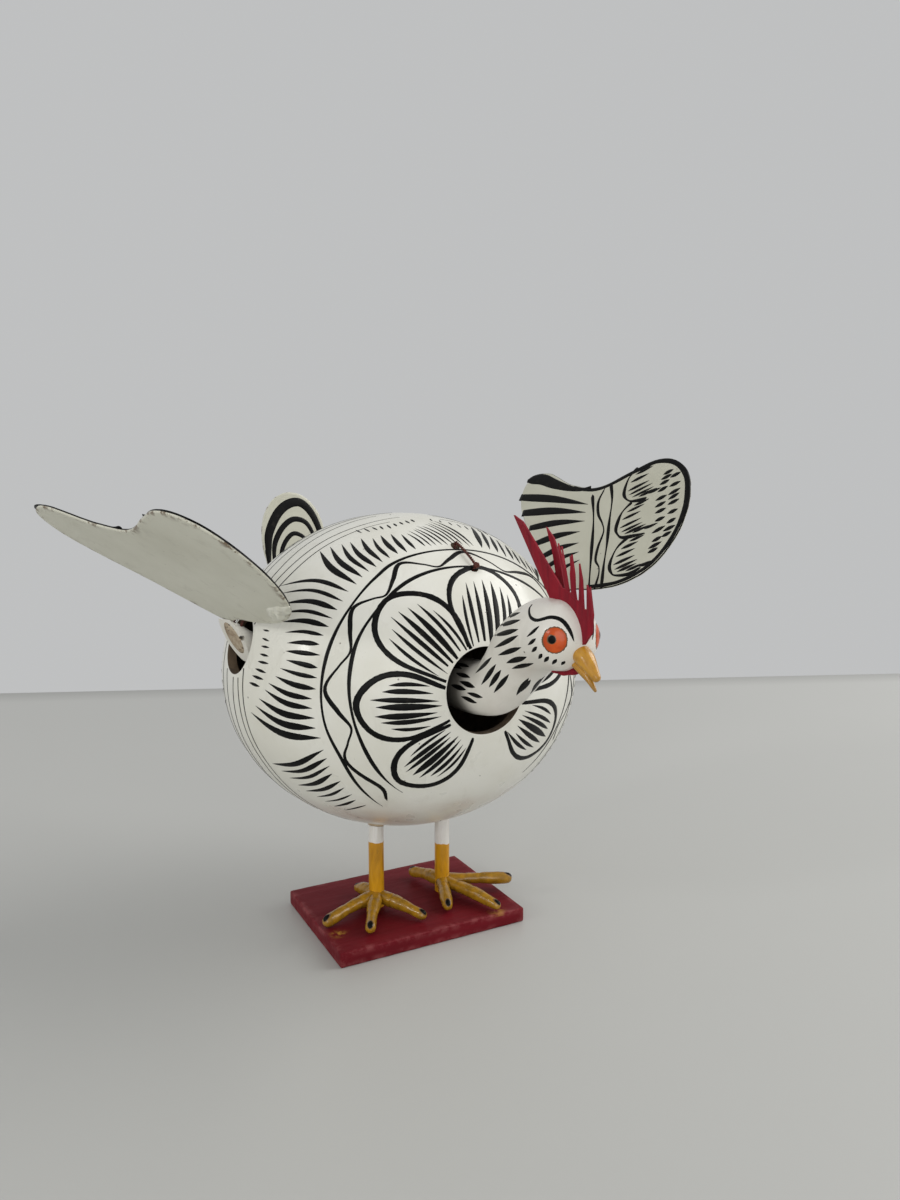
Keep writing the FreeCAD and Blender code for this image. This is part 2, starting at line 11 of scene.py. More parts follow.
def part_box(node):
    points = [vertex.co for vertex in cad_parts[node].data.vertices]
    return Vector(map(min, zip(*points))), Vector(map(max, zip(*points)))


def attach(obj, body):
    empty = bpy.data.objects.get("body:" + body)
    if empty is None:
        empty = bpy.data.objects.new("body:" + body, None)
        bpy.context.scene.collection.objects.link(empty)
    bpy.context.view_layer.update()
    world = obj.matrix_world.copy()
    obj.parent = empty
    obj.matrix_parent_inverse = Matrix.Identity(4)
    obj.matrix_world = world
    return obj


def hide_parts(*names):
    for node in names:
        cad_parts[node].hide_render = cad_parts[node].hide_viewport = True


# A bobble hen: painted gourd, dowel legs on a board, thread-hung head, wings and tail.
# Metres, +Z up. The beak points to -Y, the hen's left is +X and its right is -X.

MM = 0.001
RIGHT, LEFT = -1, 1
UP = Vector((0, 0, 1))

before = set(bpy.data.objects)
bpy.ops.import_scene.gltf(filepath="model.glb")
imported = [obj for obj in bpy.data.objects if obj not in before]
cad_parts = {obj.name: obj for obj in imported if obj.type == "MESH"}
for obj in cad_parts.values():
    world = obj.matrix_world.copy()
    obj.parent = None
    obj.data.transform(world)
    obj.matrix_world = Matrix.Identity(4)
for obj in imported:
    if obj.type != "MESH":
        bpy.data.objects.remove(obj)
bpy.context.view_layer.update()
rng = random.Random(7)


# ---------------------------------------------------------------- places and shared sizes

def middle_of(node):
    low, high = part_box(node)
    return (low + high) / 2


def half_size_of(node):
    low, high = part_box(node)
    return (high - low) / 2


GOURD_CENTRE = middle_of("gourd_shell")
GOURD_RADIUS = half_size_of("gourd_shell").x
GOURD_HALF_HEIGHT = half_size_of("gourd_shell").z
GOURD_WALL = 3.0 * MM
HOLLOW_UNEVENNESS = 0.40 * MM
WORN_RIM = 0.30 * MM
BARE_BELOW_SKIN = 0.45 * MM
LEG_HOLE_RADIUS = 2.65 * MM
HEAD_HOLE_HEIGHT = 89.0 * MM
HEAD_HOLE_RADIUS = 12.8 * MM
LIMB_HOLE_HEIGHT = 99.0 * MM
LIMB_HOLE_RADIUS = 9.0 * MM
PIVOT_HEIGHT = 102.0 * MM
PIVOT_REACH = 58.2 * MM
WING_LINE_Y = -5.5 * MM
THREAD_HOLE_RADIUS = 0.95 * MM
LOOP_HALF_WIDTH = 5.6 * MM
LOOP_RISE = 8.3 * MM
TAIL_AZIMUTH = math.radians(11.0)
TAIL_OUT = Vector((-math.sin(TAIL_AZIMUTH), math.cos(TAIL_AZIMUTH), 0))
TAIL_SIDE = TAIL_OUT.cross(UP)
BOARD_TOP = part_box("base_board")[1].z
PEG_RADIUS = 4.5 * MM
PEG_DROP = 2.6 * MM
PEG_SLANT = math.radians(32.0)
PEG_CUT_TURN = math.radians(24.0)
BLADE_THICK = 1.1 * MM


def wing_pivot(side):
    return Vector((side * PIVOT_REACH, WING_LINE_Y, PIVOT_HEIGHT))


TAIL_PIVOT = TAIL_OUT * PIVOT_REACH + UP * PIVOT_HEIGHT
STITCH_KNOT = Vector((0, -38.0, 115.6)) * MM


# ---------------------------------------------------------------- camera, stage and light

CAMERA_PLACE = Vector((-0.128475, -0.279844, 0.146912))
CAMERA_YAW = math.radians(27.853)
CAMERA_PITCH = math.radians(7.016)
CAMERA_LENS = 27.0
VIEW_AHEAD = Vector((math.sin(CAMERA_YAW) * math.cos(CAMERA_PITCH),
                     math.cos(CAMERA_YAW) * math.cos(CAMERA_PITCH), -math.sin(CAMERA_PITCH)))
VIEW_RIGHT = Vector((math.cos(CAMERA_YAW), -math.sin(CAMERA_YAW), 0))
VIEW_UP = VIEW_RIGHT.cross(VIEW_AHEAD)


def make_camera():
    data = bpy.data.cameras.new("camera")
    data.lens = CAMERA_LENS
    data.sensor_width = 36.0
    data.clip_start = 0.01
    camera = bpy.data.objects.new("camera", data)
    bpy.context.collection.objects.link(camera)
    axes = Matrix((VIEW_RIGHT, VIEW_UP, -VIEW_AHEAD)).transposed()
    camera.matrix_world = Matrix.Translation(CAMERA_PLACE) @ axes.to_4x4()
    bpy.context.scene.camera = camera


def make_light(name, place, size, power, colour):
    data = bpy.data.lights.new(name, "AREA")
    data.shape = "DISK"
    data.size = size
    data.energy = power
    data.color = colour
    light = bpy.data.objects.new(name, data)
    bpy.context.collection.objects.link(light)
    light.location = place
    light.rotation_euler = (LAMP_TARGET - Vector(place)).to_track_quat("-Z", "Y").to_euler()


# The table top: its size, how far behind the hen it ends, and the way that edge is turned.
TABLE_SIZE = 6.0
TABLE_BACK = 0.362
TABLE_TURN = math.radians(21.97)

# Each lamp, aimed at the hen's middle: its name, place, width, power in watts and colour.
LAMPS = [("window", (1.15, -0.30, 0.85), 1.2, 11.5, (1.0, 0.99, 0.97)),
         ("ceiling", (0.1, 0.35, 1.5), 1.6, 0.7, (1.0, 1.0, 0.99)),
         ("front", (-0.85, -1.2, 0.42), 1.1, 6.2, (1.0, 0.995, 0.97)),
         ("far_window", (-1.17, -0.03, 0.54), 0.15, 1.5, (1.0, 1.0, 1.0))]
LAMP_TARGET = Vector((0.0, 0.0, 0.08))
WALL_COLOUR = (0.87, 0.88, 0.885, 1)
WALL_STRENGTH = 0.60


def make_stage():
    """A pale table top that ends behind the hen, the pale room round it, and its lamps."""
    back = Vector((math.sin(TABLE_TURN), math.cos(TABLE_TURN), 0))
    bpy.ops.mesh.primitive_plane_add(size=TABLE_SIZE, location=back * (TABLE_BACK - TABLE_SIZE / 2),
                                     rotation=(0, 0, -TABLE_TURN))
    floor = bpy.context.object
    floor.name = "floor"
    floor.data.materials.append(floor_material())
    world = bpy.data.worlds.new("studio")
    bpy.context.scene.world = world
    world.use_nodes = True
    background = world.node_tree.nodes["Background"]
    background.inputs["Color"].default_value = WALL_COLOUR
    background.inputs["Strength"].default_value = WALL_STRENGTH
    for lamp in LAMPS:
        make_light(*lamp)
    bpy.context.scene.view_settings.view_transform = "Standard"


# ---------------------------------------------------------------- materials

class Shade:
    """A material's node tree, with one short call for each kind of node."""

    def __init__(self, name):
        self.material = bpy.data.materials.new(name)
        self.material.use_nodes = True
        self.tree = self.material.node_tree
        self.shader = self.tree.nodes["Principled BSDF"]
        self.place = self.tree.nodes.new("ShaderNodeTexCoord").outputs["Object"]

    def link(self, source, target):
        if hasattr(source, "links"):
            self.tree.links.new(source, target)
        else:
            target.default_value = source

    def node(self, kind, inputs=(), **settings):
        item = self.tree.nodes.new(kind)
        for key, value in settings.items():
            setattr(item, key, value)
        for key, value in dict(inputs).items():
            self.link(value, item.inputs[key])
        return item

    def stretch(self, scale):
        return self.node("ShaderNodeMapping", {"Vector": self.place, "Scale": scale}).outputs[0]

    def noise(self, scale, detail=3.0, rough=0.5, place=None, warp=0.0):
        item = self.node("ShaderNodeTexNoise", {"Vector": place or self.place, "Scale": scale,
                                                "Detail": detail, "Roughness": rough,
                                                "Distortion": warp})
        return item.outputs["Fac"]

    def specks(self, scale, radius):
        """1 in small dots scattered over the surface, 0 elsewhere."""
        cell = self.node("ShaderNodeTexVoronoi", {"Vector": self.place, "Scale": scale})
        return self.span(cell.outputs["Distance"], radius, radius * 0.6)

    def span(self, value, low, high, to_low=0.0, to_high=1.0):
        item = self.node("ShaderNodeMapRange", {"Value": value, "From Min": low, "From Max": high,
                                                "To Min": to_low, "To Max": to_high})
        return item.outputs[0]

    def maths(self, operation, a, b=0.0):
        item = self.node("ShaderNodeMath", operation=operation)
        self.link(a, item.inputs[0])
        self.link(b, item.inputs[1])
        return item.outputs[0]

    def mix(self, factor, a, b):
        item = self.node("ShaderNodeMix", data_type="RGBA")
        self.link(factor, item.inputs[0])
        self.link(opaque(a), item.inputs[6])
        self.link(opaque(b), item.inputs[7])
        return item.outputs[2]

    def height(self):
        return self.node("ShaderNodeSeparateXYZ", {"Vector": self.place}).outputs["Z"]

    def along_y(self):
        return self.node("ShaderNodeSeparateXYZ", {"Vector": self.place}).outputs["Y"]

    def mark(self, name):
        """A number painted on the mesh's points."""
        return self.node("ShaderNodeAttribute", attribute_name=name).outputs["Fac"]

    def bump(self, value, strength, distance=0.0002):
        item = self.node("ShaderNodeBump", {"Height": value, "Strength": strength,
                                            "Distance": distance})
        self.link(item.outputs[0], self.shader.inputs["Normal"])

    def finish(self, colour, roughness, coat=0.0, specular=0.5):
        self.link(opaque(colour), self.shader.inputs["Base Color"])
        self.link(roughness, self.shader.inputs["Roughness"])
        self.shader.inputs["Coat Weight"].default_value = coat
        self.shader.inputs["Coat Roughness"].default_value = 0.12
        self.shader.inputs["Specular IOR Level"].default_value = specular
        return self.material


def opaque(colour):
    return (*colour, 1.0) if isinstance(colour, tuple) and len(colour) == 3 else colour


def floor_material():
    shade = Shade("floor_paint")
    cloud = shade.noise(3.0, 4.0)
    grit = shade.specks(420.0, 0.05)
    colour = shade.mix(cloud, (0.475, 0.475, 0.455), (0.515, 0.515, 0.495))
    colour = shade.mix(shade.maths("MULTIPLY", grit, 0.06), colour, (0.35, 0.34, 0.32))
    # Painted shadow: the table top darkens in a narrow band along its far edge.
    painted_edge_shadow = shade.span(shade.along_y(), TABLE_SIZE / 2 - 0.030, TABLE_SIZE / 2, 0.0, 0.45)
    colour = shade.mix(painted_edge_shadow, colour, (0.20, 0.20, 0.19))
    shade.bump(shade.noise(900.0, 2.0), 0.05)
    return shade.finish(colour, 0.45)


def enamel_material(name, base, shadow, stain_low=0.0, painted_shade_from=None):
    """Off-white brushed enamel with clouds and specks. Low on the body it may have brown-pink
    stains, and towards the back the part inside the gourd may be darkened with painted shade."""
    shade = Shade(name)
    cloud = shade.span(shade.noise(38.0, 5.0, 0.6), 0.35, 0.72)
    colour = shade.mix(cloud, base, shadow)
    streaks = shade.noise(160.0, 4.0, 0.65, shade.stretch((1.0, 1.0, 0.35)), 0.4)
    colour = shade.mix(shade.span(streaks, 0.56, 0.80, 0.0, 0.30), colour, (0.50, 0.47, 0.39))
    if stain_low:
        low = shade.span(shade.height(), stain_low + 0.014, stain_low)
        patch = shade.span(shade.noise(55.0, 3.0, 0.5), 0.40, 0.66)
        stain = shade.maths("MULTIPLY", low, patch)
        colour = shade.mix(shade.maths("MULTIPLY", stain, 0.75), colour, (0.50, 0.36, 0.29))
    dots = shade.maths("MULTIPLY", shade.specks(150.0, 0.055), shade.span(cloud, 0.3, 0.5))
    colour = shade.mix(shade.maths("MULTIPLY", dots, 0.85), colour, (0.10, 0.08, 0.06))
    dust = shade.specks(520.0, 0.10)
    colour = shade.mix(shade.maths("MULTIPLY", dust, 0.12), colour, (0.33, 0.30, 0.24))
    if painted_shade_from is not None:
        # Painted shade: behind the given depth the colour fades to near black, like the gourd's
        # shadow.
        inside = shade.span(shade.along_y(), painted_shade_from - 3 * MM, painted_shade_from + 5 * MM)
        colour = shade.mix(shade.maths("MULTIPLY", inside, 0.86), colour, (0.075, 0.066, 0.055))
    swell = shade.maths("ADD", shade.noise(240.0, 3.0), shade.maths("MULTIPLY", streaks, 0.7))
    shade.bump(swell, 0.16, 0.0004)
    rough = shade.span(shade.noise(90.0, 3.0), 0.3, 0.7, 0.24, 0.42)
    return shade.finish(colour, rough, 0.25)


def shaded_raw_gourd_material():
    shade = Shade("raw_gourd")
    fibre = shade.noise(300.0, 5.0, 0.6, shade.stretch((1.0, 1.0, 0.25)), 0.6)
    # Bare gourd's brown, partly real and made very dark as painted shade for the hole walls and
    # hollow.
    colour = shade.mix(shade.span(fibre, 0.3, 0.7), (0.045, 0.030, 0.019), (0.13, 0.088, 0.052))
    shade.bump(fibre, 0.5, 0.0006)
    return shade.finish(colour, 0.9)


def ink_material():
    shade = Shade("black_ink")
    thin = shade.span(shade.noise(420.0, 4.0, 0.6), 0.58, 0.80)
    colour = shade.mix(thin, (0.003, 0.003, 0.003), (0.020, 0.017, 0.014))
    shade.bump(shade.noise(700.0, 3.0), 0.2)
    return shade.finish(colour, shade.span(thin, 0.0, 1.0, 0.36, 0.5), 0.0, 0.12)


def board_material():
    shade = Shade("maroon_paint")
    grain = shade.noise(60.0, 5.0, 0.6, shade.stretch((0.25, 3.0, 1.0)), 0.5)
    colour = shade.mix(shade.span(grain, 0.3, 0.75), (0.165, 0.007, 0.014), (0.105, 0.005, 0.009))
    dusty = shade.span(shade.noise(120.0, 5.0, 0.7), 0.58, 0.85, 0.0, 0.18)
    colour = shade.mix(dusty, colour, (0.27, 0.040, 0.050))
    worn = shade.maths("MULTIPLY", shade.mark("edge"),
                       shade.span(shade.noise(210.0, 5.0, 0.7), 0.44, 0.62))
    colour = shade.mix(shade.maths("MULTIPLY", worn, 0.45), colour, (0.40, 0.13, 0.13))
    smear = shade.maths("MULTIPLY", shade.mark("smear"),
                        shade.span(shade.noise(420.0, 4.0, 0.6), 0.42, 0.58))
    colour = shade.mix(smear, colour, (0.50, 0.27, 0.045))
    relief = shade.maths("ADD", shade.noise(500.0, 4.0), grain)
    shade.bump(relief, 0.3, 0.0003)
    return shade.finish(colour, shade.span(grain, 0.3, 0.7, 0.46, 0.62), 0.0, 0.12)


def leg_material(name, line):
    """Streaky yellow enamel up to a wavering line, white enamel above it."""
    shade = Shade(name)
    streak = shade.noise(330.0, 5.0, 0.6, shade.stretch((1.0, 1.0, 0.18)), 0.6)
    yellow = shade.mix(shade.span(streak, 0.3, 0.7), (0.72, 0.35, 0.010), (0.42, 0.19, 0.006))
    dirt = shade.span(shade.noise(230.0, 4.0, 0.7), 0.60, 0.80, 0.0, 0.7)
    yellow = shade.mix(dirt, yellow, (0.16, 0.095, 0.018))
    white = shade.mix(shade.span(streak, 0.4, 0.8), (0.80, 0.79, 0.76), (0.60, 0.57, 0.50))
    waver = shade.span(shade.noise(240.0, 2.0), 0.0, 1.0, -0.0012, 0.0012)
    level = shade.maths("ADD", shade.height(), waver)
    above = shade.span(level, line - 0.0001, line + 0.0001)
    shade.bump(shade.maths("SUBTRACT", streak, above), 0.35, 0.0003)
    return shade.finish(shade.mix(above, yellow, white), 0.30, 0.08, 0.35)


def toe_material():
    shade = Shade("mustard_enamel")
    cloud = shade.noise(380.0, 5.0, 0.65)
    colour = shade.mix(shade.span(cloud, 0.3, 0.7), (0.44, 0.225, 0.012), (0.22, 0.112, 0.008))
    # Painted shade: the toe darkens low down, near the board.
    low = shade.maths("MULTIPLY", shade.mark("low"), shade.span(cloud, 0.25, 0.55))
    colour = shade.mix(shade.maths("MULTIPLY", low, 0.85), colour, (0.095, 0.060, 0.010))
    # Painted shade in the toe's creases.
    crease_shade = shade.maths("MULTIPLY", shade.mark("crease_shade"), 0.30)
    colour = shade.mix(crease_shade, colour, (0.13, 0.075, 0.012))
    shade.bump(shade.noise(650.0, 4.0, 0.6), 0.35, 0.0003)
    return shade.finish(colour, shade.span(cloud, 0.3, 0.7, 0.16, 0.30), 0.1, 0.5)


def red_card_material():
    shade = Shade("red_card")
    fibre = shade.noise(420.0, 5.0, 0.6, shade.stretch((1.0, 1.0, 0.2)), 0.5)
    colour = shade.mix(shade.span(fibre, 0.3, 0.7), (0.29, 0.007, 0.020), (0.16, 0.004, 0.014))
    colour = shade.mix(shade.span(shade.noise(260.0, 4.0), 0.66, 0.85, 0.0, 0.4), colour,
                       (0.34, 0.05, 0.07))
    shade.bump(fibre, 0.5, 0.0003)
    return shade.finish(colour, 0.6, 0.0, 0.2)


def beak_material():
    """Ochre enamel that darkens towards the beak's lower tip."""
    shade = Shade("beak_enamel")
    low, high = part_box("lower_beak")[0].z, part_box("upper_beak")[1].z
    cloud = shade.noise(500.0, 4.0)
    colour = shade.mix(shade.span(cloud, 0.3, 0.7), (0.60, 0.30, 0.022), (0.44, 0.20, 0.014))
    tip = shade.span(shade.height(), low + (high - low) * 0.50, low)
    colour = shade.mix(shade.maths("MULTIPLY", tip, 0.75), colour, (0.19, 0.105, 0.022))
    shade.bump(cloud, 0.3, 0.0002)
    return shade.finish(colour, 0.28, 0.35)


def eye_material():
    shade = Shade("orange_enamel")
    cloud = shade.noise(450.0, 4.0)
    colour = shade.mix(shade.span(cloud, 0.35, 0.7), (0.62, 0.088, 0.008), (0.46, 0.052, 0.006))
    shade.bump(cloud, 0.25, 0.0002)
    return shade.finish(colour, 0.26, 0.12, 0.35)


def wing_under_material():
    """Thin grey-beige enamel over bare rind, with soft clouds, chips and pinholes."""
    shade = Shade("wing_underside")
    cloud = shade.span(shade.noise(34.0, 4.0, 0.6), 0.3, 0.7)
    colour = shade.mix(cloud, (0.68, 0.67, 0.565), (0.59, 0.58, 0.48))
    grain = shade.noise(210.0, 5.0, 0.65, shade.stretch((0.3, 1.0, 1.0)), 0.5)
    colour = shade.mix(shade.span(grain, 0.55, 0.8, 0.0, 0.35), colour, (0.34, 0.32, 0.25))
    chips = shade.maths("MULTIPLY", shade.mark("edge"),
                        shade.span(shade.noise(260.0, 5.0, 0.7), 0.52, 0.60))
    colour = shade.mix(chips, colour, (0.17, 0.12, 0.075))
    pits = shade.specks(240.0, 0.06)
    colour = shade.mix(shade.maths("MULTIPLY", pits, 0.5), colour, (0.18, 0.15, 0.11))
    shade.bump(shade.maths("ADD", grain, cloud), 0.2, 0.0004)
    return shade.finish(colour, shade.span(cloud, 0.0, 1.0, 0.34, 0.50), 0.1)


def peg_core_material():
    """The cut end of a pithy twig: tan, porous, with dark pits."""
    shade = Shade("twig_pith")
    cloud = shade.noise(420.0, 5.0, 0.7)
    colour = shade.mix(shade.span(cloud, 0.35, 0.65), (0.50, 0.42, 0.31), (0.27, 0.20, 0.135))
    pits = shade.specks(620.0, 0.22)
    colour = shade.mix(shade.maths("MULTIPLY", pits, 0.85), colour, (0.06, 0.038, 0.022))
    shade.bump(shade.maths("SUBTRACT", cloud, pits), 0.8, 0.0005)
    return shade.finish(colour, 0.85)


def glue_material():
    shade = Shade("glue")
    cloud = shade.noise(330.0, 4.0)
    colour = shade.mix(shade.span(cloud, 0.3, 0.7), (0.66, 0.56, 0.40), (0.50, 0.36, 0.20))
    shade.bump(shade.noise(500.0, 4.0), 0.5, 0.0004)
    return shade.finish(colour, 0.35, 0.2)


def thread_material():
    shade = Shade("waxed_thread")
    fuzz = shade.noise(2600.0, 3.0)
    colour = shade.mix(shade.span(fuzz, 0.3, 0.7), (0.115, 0.022, 0.012), (0.045, 0.012, 0.009))
    shade.bump(fuzz, 0.4, 0.0001)
    return shade.finish(colour, 0.75)


def clay_material():
    shade = Shade("dry_clay")
    cloud = shade.noise(240.0, 5.0, 0.7)
    colour = shade.mix(shade.span(cloud, 0.3, 0.7), (0.26, 0.16, 0.10), (0.17, 0.10, 0.06))
    shade.bump(cloud, 0.7, 0.0006)
    return shade.finish(colour, 0.9)


def wire_material():
    shade = Shade("steel_wire")
    drawn = shade.noise(700.0, 3.0, 0.5, shade.stretch((1.0, 1.0, 0.1)))
    colour = shade.mix(drawn, (0.42, 0.42, 0.43), (0.26, 0.25, 0.24))
    shade.shader.inputs["Metallic"].default_value = 1.0
    return shade.finish(colour, shade.span(drawn, 0.2, 0.8, 0.3, 0.5))


def brown_material():
    """The thin brown edge round each eye, pupil and nail."""
    shade = Shade("brown_enamel")
    cloud = shade.noise(500.0, 3.0)
    colour = shade.mix(cloud, (0.10, 0.045, 0.012), (0.16, 0.075, 0.016))
    return shade.finish(colour, 0.3, 0.3)


# ---------------------------------------------------------------- meshes and brush strokes

def new_piece(name, points, faces, materials, body, replaced=(), face_slots=None):
    """A mesh piece that rides on a body, takes its materials, each face's slot if given, and may
    replace CAD nodes.
    """
    mesh = bpy.data.meshes.new(name)
    mesh.from_pydata([tuple(p) for p in points], [], [tuple(f) for f in faces])
    for material in materials:
        mesh.materials.append(material)
    if face_slots is not None:
        mesh.polygons.foreach_set("material_index", face_slots)
    mesh.validate()
    mesh.polygons.foreach_set("use_smooth", [True] * len(mesh.polygons))
    piece = bpy.data.objects.new(name, mesh)
    bpy.context.collection.objects.link(piece)
    return settle(piece, body, replaced)


def settle(piece, body, replaced=()):
    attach(piece, body)
    if replaced:
        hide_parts(*replaced)
    return piece


def sharpen(piece, degrees):
    piece.data.set_sharp_from_angle(angle=math.radians(degrees))


def face_outward(piece):
    """Turns every face of a closed piece outwards."""
    work = bmesh.new()
    work.from_mesh(piece.data)
    bmesh.ops.recalc_face_normals(work, faces=work.faces)
    work.to_mesh(piece.data)
    work.free()


def paint_mark(piece, name, value_at):
    """Stores a number on each point of a mesh, for its material to read."""
    mark = piece.data.attributes.new(name, "FLOAT", "POINT")
    values = [value_at(v.co) for v in piece.data.vertices]
    mark.data.foreach_set("value", values)


def smooth_line(points, count):
    """Evenly spread samples of a smooth curve through a few points."""
    points = np.asarray(points, float)
    if len(points) == 2:
        steps = np.linspace(0, 1, count)[:, None]
        return points[0] * (1 - steps) + points[1] * steps
    padded = np.vstack([2 * points[0] - points[1], points, 2 * points[-1] - points[-2]])
    spans = len(points) - 1
    samples = []
    for value in np.linspace(0, spans, count):
        k = min(int(value), spans - 1)
        t = value - k
        a, b, c, d = padded[k:k + 4]
        samples.append(0.5 * (2 * b + (c - a) * t + (2 * a - 5 * b + 4 * c - d) * t * t
                              + (3 * b - a - 3 * c + d) * t ** 3))
    return np.array(samples)


def tapered(count, width, fattest=0.5, start=0.0, end=0.0):
    """Brush widths along a stroke: fat at one place, thin at each end unless it is blunt."""
    widths = []
    for k in range(count):
        t = k / (count - 1)
        u = t / fattest * 0.5 if t < fattest else 0.5 + (t - fattest) / (1 - fattest) * 0.5
        blunt = start if t < fattest else end
        rise = math.sin(math.pi * u) ** 0.85
        widths.append(width * max(blunt + (1 - blunt) * rise, 0.05))
    return widths


class Paint:
    """Brush strokes gathered into one mesh: lens-shaped ribbons lying on a surface."""

    PROFILE = [(-0.5, -0.35), (-0.34, 0.62), (0.0, 1.0), (0.34, 0.62), (0.5, -0.35)]

    def __init__(self, surface, proud=0.09 * MM, keep=None):
        self.surface = surface
        self.proud = proud
        self.keep = keep
        self.points = []
        self.faces = []

    def stroke(self, path, widths):
        """Lays one stroke along points near the surface, leaving out what falls in a hole."""
        run = []
        for point, width in zip(path, widths):
            if self.keep is None or self.keep(point):
                run.append((point, width))
            else:
                self.ribbon(run)
                run = []
        self.ribbon(run)

    def ribbon(self, run):
        if len(run) < 3:
            return
        spots = [self.surface(Vector(point)) for point, _ in run]
        first = len(self.points)
        rows = len(self.PROFILE)
        for k, (spot, normal) in enumerate(spots):
            ahead = spots[min(k + 1, len(spots) - 1)][0] - spots[max(k - 1, 0)][0]
            across = normal.cross(ahead).normalized()
            width = run[k][1]
            rise = min(self.proud, width * 0.25)
            for offset, lift in self.PROFILE:
                foot, out = self.surface(spot + across * (offset * width))
                self.points.append(foot + out * (lift * rise))
        for k in range(len(spots) - 1):
            base = first + k * rows
            for j in range(rows):
                after = (j + 1) % rows
                self.faces.append((base + j, base + after, base + rows + after, base + rows + j))
        self.faces.append([first + j for j in range(rows)])
        self.faces.append([len(self.points) - 1 - j for j in range(rows)])

    def disc(self, centre, across, along):
        """A filled oval on the surface, from its middle and its two half axes."""
        self.patch(lambda u, v: centre + across * u + along * v)

    def patch(self, place_at, rings=5, spokes=36):
        """A filled, slightly domed patch: the image of a unit disc under a given function."""
        first = len(self.points)
        spot, out = self.surface(place_at(0.0, 0.0))
        self.points.append(spot + out * self.proud)
        for ring in range(1, rings + 1):
            reach = ring / rings
            lift = 1.0 - reach ** 3 if ring < rings else -0.35
            for k in range(spokes):
                turn = 2 * math.pi * k / spokes
                spot, out = self.surface(place_at(reach * math.cos(turn), reach * math.sin(turn)))
                self.points.append(spot + out * (self.proud * lift))
        for k in range(spokes):
            self.faces.append((first, first + 1 + k, first + 1 + (k + 1) % spokes))
        for ring in range(1, rings):
            inner = first + 1 + (ring - 1) * spokes
            outer = inner + spokes
            for k in range(spokes):
                after = (k + 1) % spokes
                self.faces.append((inner + k, outer + k, outer + after, inner + after))
        rim = first + 1 + (rings - 1) * spokes
        self.faces.append([rim + k for k in reversed(range(spokes))])

    def piece(self, name, material, body, slot):
        made = new_piece(name, self.points, self.faces, [material], body)
        face_outward(made)
        return made


def tree_of(piece):
    """A search tree of a piece's faces."""
    return BVHTree.FromPolygons([v.co.copy() for v in piece.data.vertices],
                                [tuple(p.vertices) for p in piece.data.polygons])


def mesh_surface(piece):
    """The nearest point of a mesh and its normal there, for strokes that lie on it."""
    tree = tree_of(piece)
    mesh = piece.data

    def nearest(point):
        spot, normal, index, _ = tree.find_nearest(point)
        corners = mesh.polygons[index].vertices
        weights = [1.0 / (1e-7 + (mesh.vertices[c].co - spot).length) for c in corners]
        smooth = sum((mesh.vertices[c].normal * w for c, w in zip(corners, weights)), Vector())
        return spot, smooth.normalized()

    return nearest


def swept_tube(centres, radii, sides, frames, lumps=None):
    """Points and faces of a closed tube through centres, with its own section at each."""
    points, faces = [], []
    for k, (centre, radius) in enumerate(zip(centres, radii)):
        first_axis, second_axis = frames[k]
        for j in range(sides):
            turn = 2 * math.pi * j / sides
            reach = radius * (lumps(k, turn) if lumps else 1.0)
            step = first_axis * math.cos(turn) + second_axis * math.sin(turn)
            points.append(centre + step * reach)
    for k in range(len(centres) - 1):
        for j in range(sides):
            after = (j + 1) % sides
            base = k * sides
            faces.append((base + j, base + after, base + sides + after, base + sides + j))
    faces.append([j for j in reversed(range(sides))])
    faces.append([len(points) - sides + j for j in range(sides)])
    return points, faces


def frames_along(centres, hint):
    """Two axes across a line at each of its points, the first as near a hint as it can be."""
    pairs = []
    for k in range(len(centres)):
        ahead = (centres[min(k + 1, len(centres) - 1)] - centres[max(k - 1, 0)]).normalized()
        first = (hint - ahead * hint.dot(ahead)).normalized()
        pairs.append((first, ahead.cross(first)))
    return pairs


def vectors(rows):
    return [Vector(row) for row in rows]


# ---------------------------------------------------------------- the gourd

def on_gourd(point):
    """The gourd's skin straight below or above a point, and the way out there."""
    reach = Vector((point.x / GOURD_RADIUS, point.y / GOURD_RADIUS,
                    (point.z - GOURD_CENTRE.z) / GOURD_HALF_HEIGHT)).normalized()
    spot = Vector((reach.x * GOURD_RADIUS, reach.y * GOURD_RADIUS,
                   GOURD_CENTRE.z + reach.z * GOURD_HALF_HEIGHT))
    out = Vector((reach.x / GOURD_RADIUS, reach.y / GOURD_RADIUS, reach.z / GOURD_HALF_HEIGHT))
    return spot, out.normalized()


class Dial:
    """Angles on the gourd: from a pole on its side, and round that pole from one side over the
    top. Strokes are drawn in these angles, in degrees."""

    def __init__(self, pole, side):
        self.pole = pole
        self.side = side

    def point(self, tilt, turn):
        tilt, turn = math.radians(tilt), math.radians(turn)
        reach = (self.pole * math.cos(tilt) + self.side * (math.sin(tilt) * math.cos(turn))
                 + UP * (math.sin(tilt) * math.sin(turn)))
        return Vector((reach.x * GOURD_RADIUS, reach.y * GOURD_RADIUS,
                       GOURD_CENTRE.z + reach.z * GOURD_HALF_HEIGHT))


FRONT_DIAL = Dial(Vector((0, -1, 0)), Vector((1, 0, 0)))
BACK_DIAL = Dial(TAIL_OUT, -TAIL_SIDE)

# Each round hole: a point on its axis, the way out and its radius.
HOLES = [(Vector((0, 0, HEAD_HOLE_HEIGHT)), Vector((0, -1, 0)), HEAD_HOLE_RADIUS),
         (Vector((0, WING_LINE_Y, LIMB_HOLE_HEIGHT)), Vector((-1, 0, 0)), LIMB_HOLE_RADIUS),
         (Vector((0, WING_LINE_Y, LIMB_HOLE_HEIGHT)), Vector((1, 0, 0)), LIMB_HOLE_RADIUS),
         (Vector((0, 0, LIMB_HOLE_HEIGHT)), TAIL_OUT, LIMB_HOLE_RADIUS)]


def clear_of_holes(point):
    point = Vector(point)
    for start, way, radius in HOLES:
        reach = point - start
        if reach.dot(way) > 0 and (reach - way * reach.dot(way)).length < radius + 0.25 * MM:
            return False
    return True


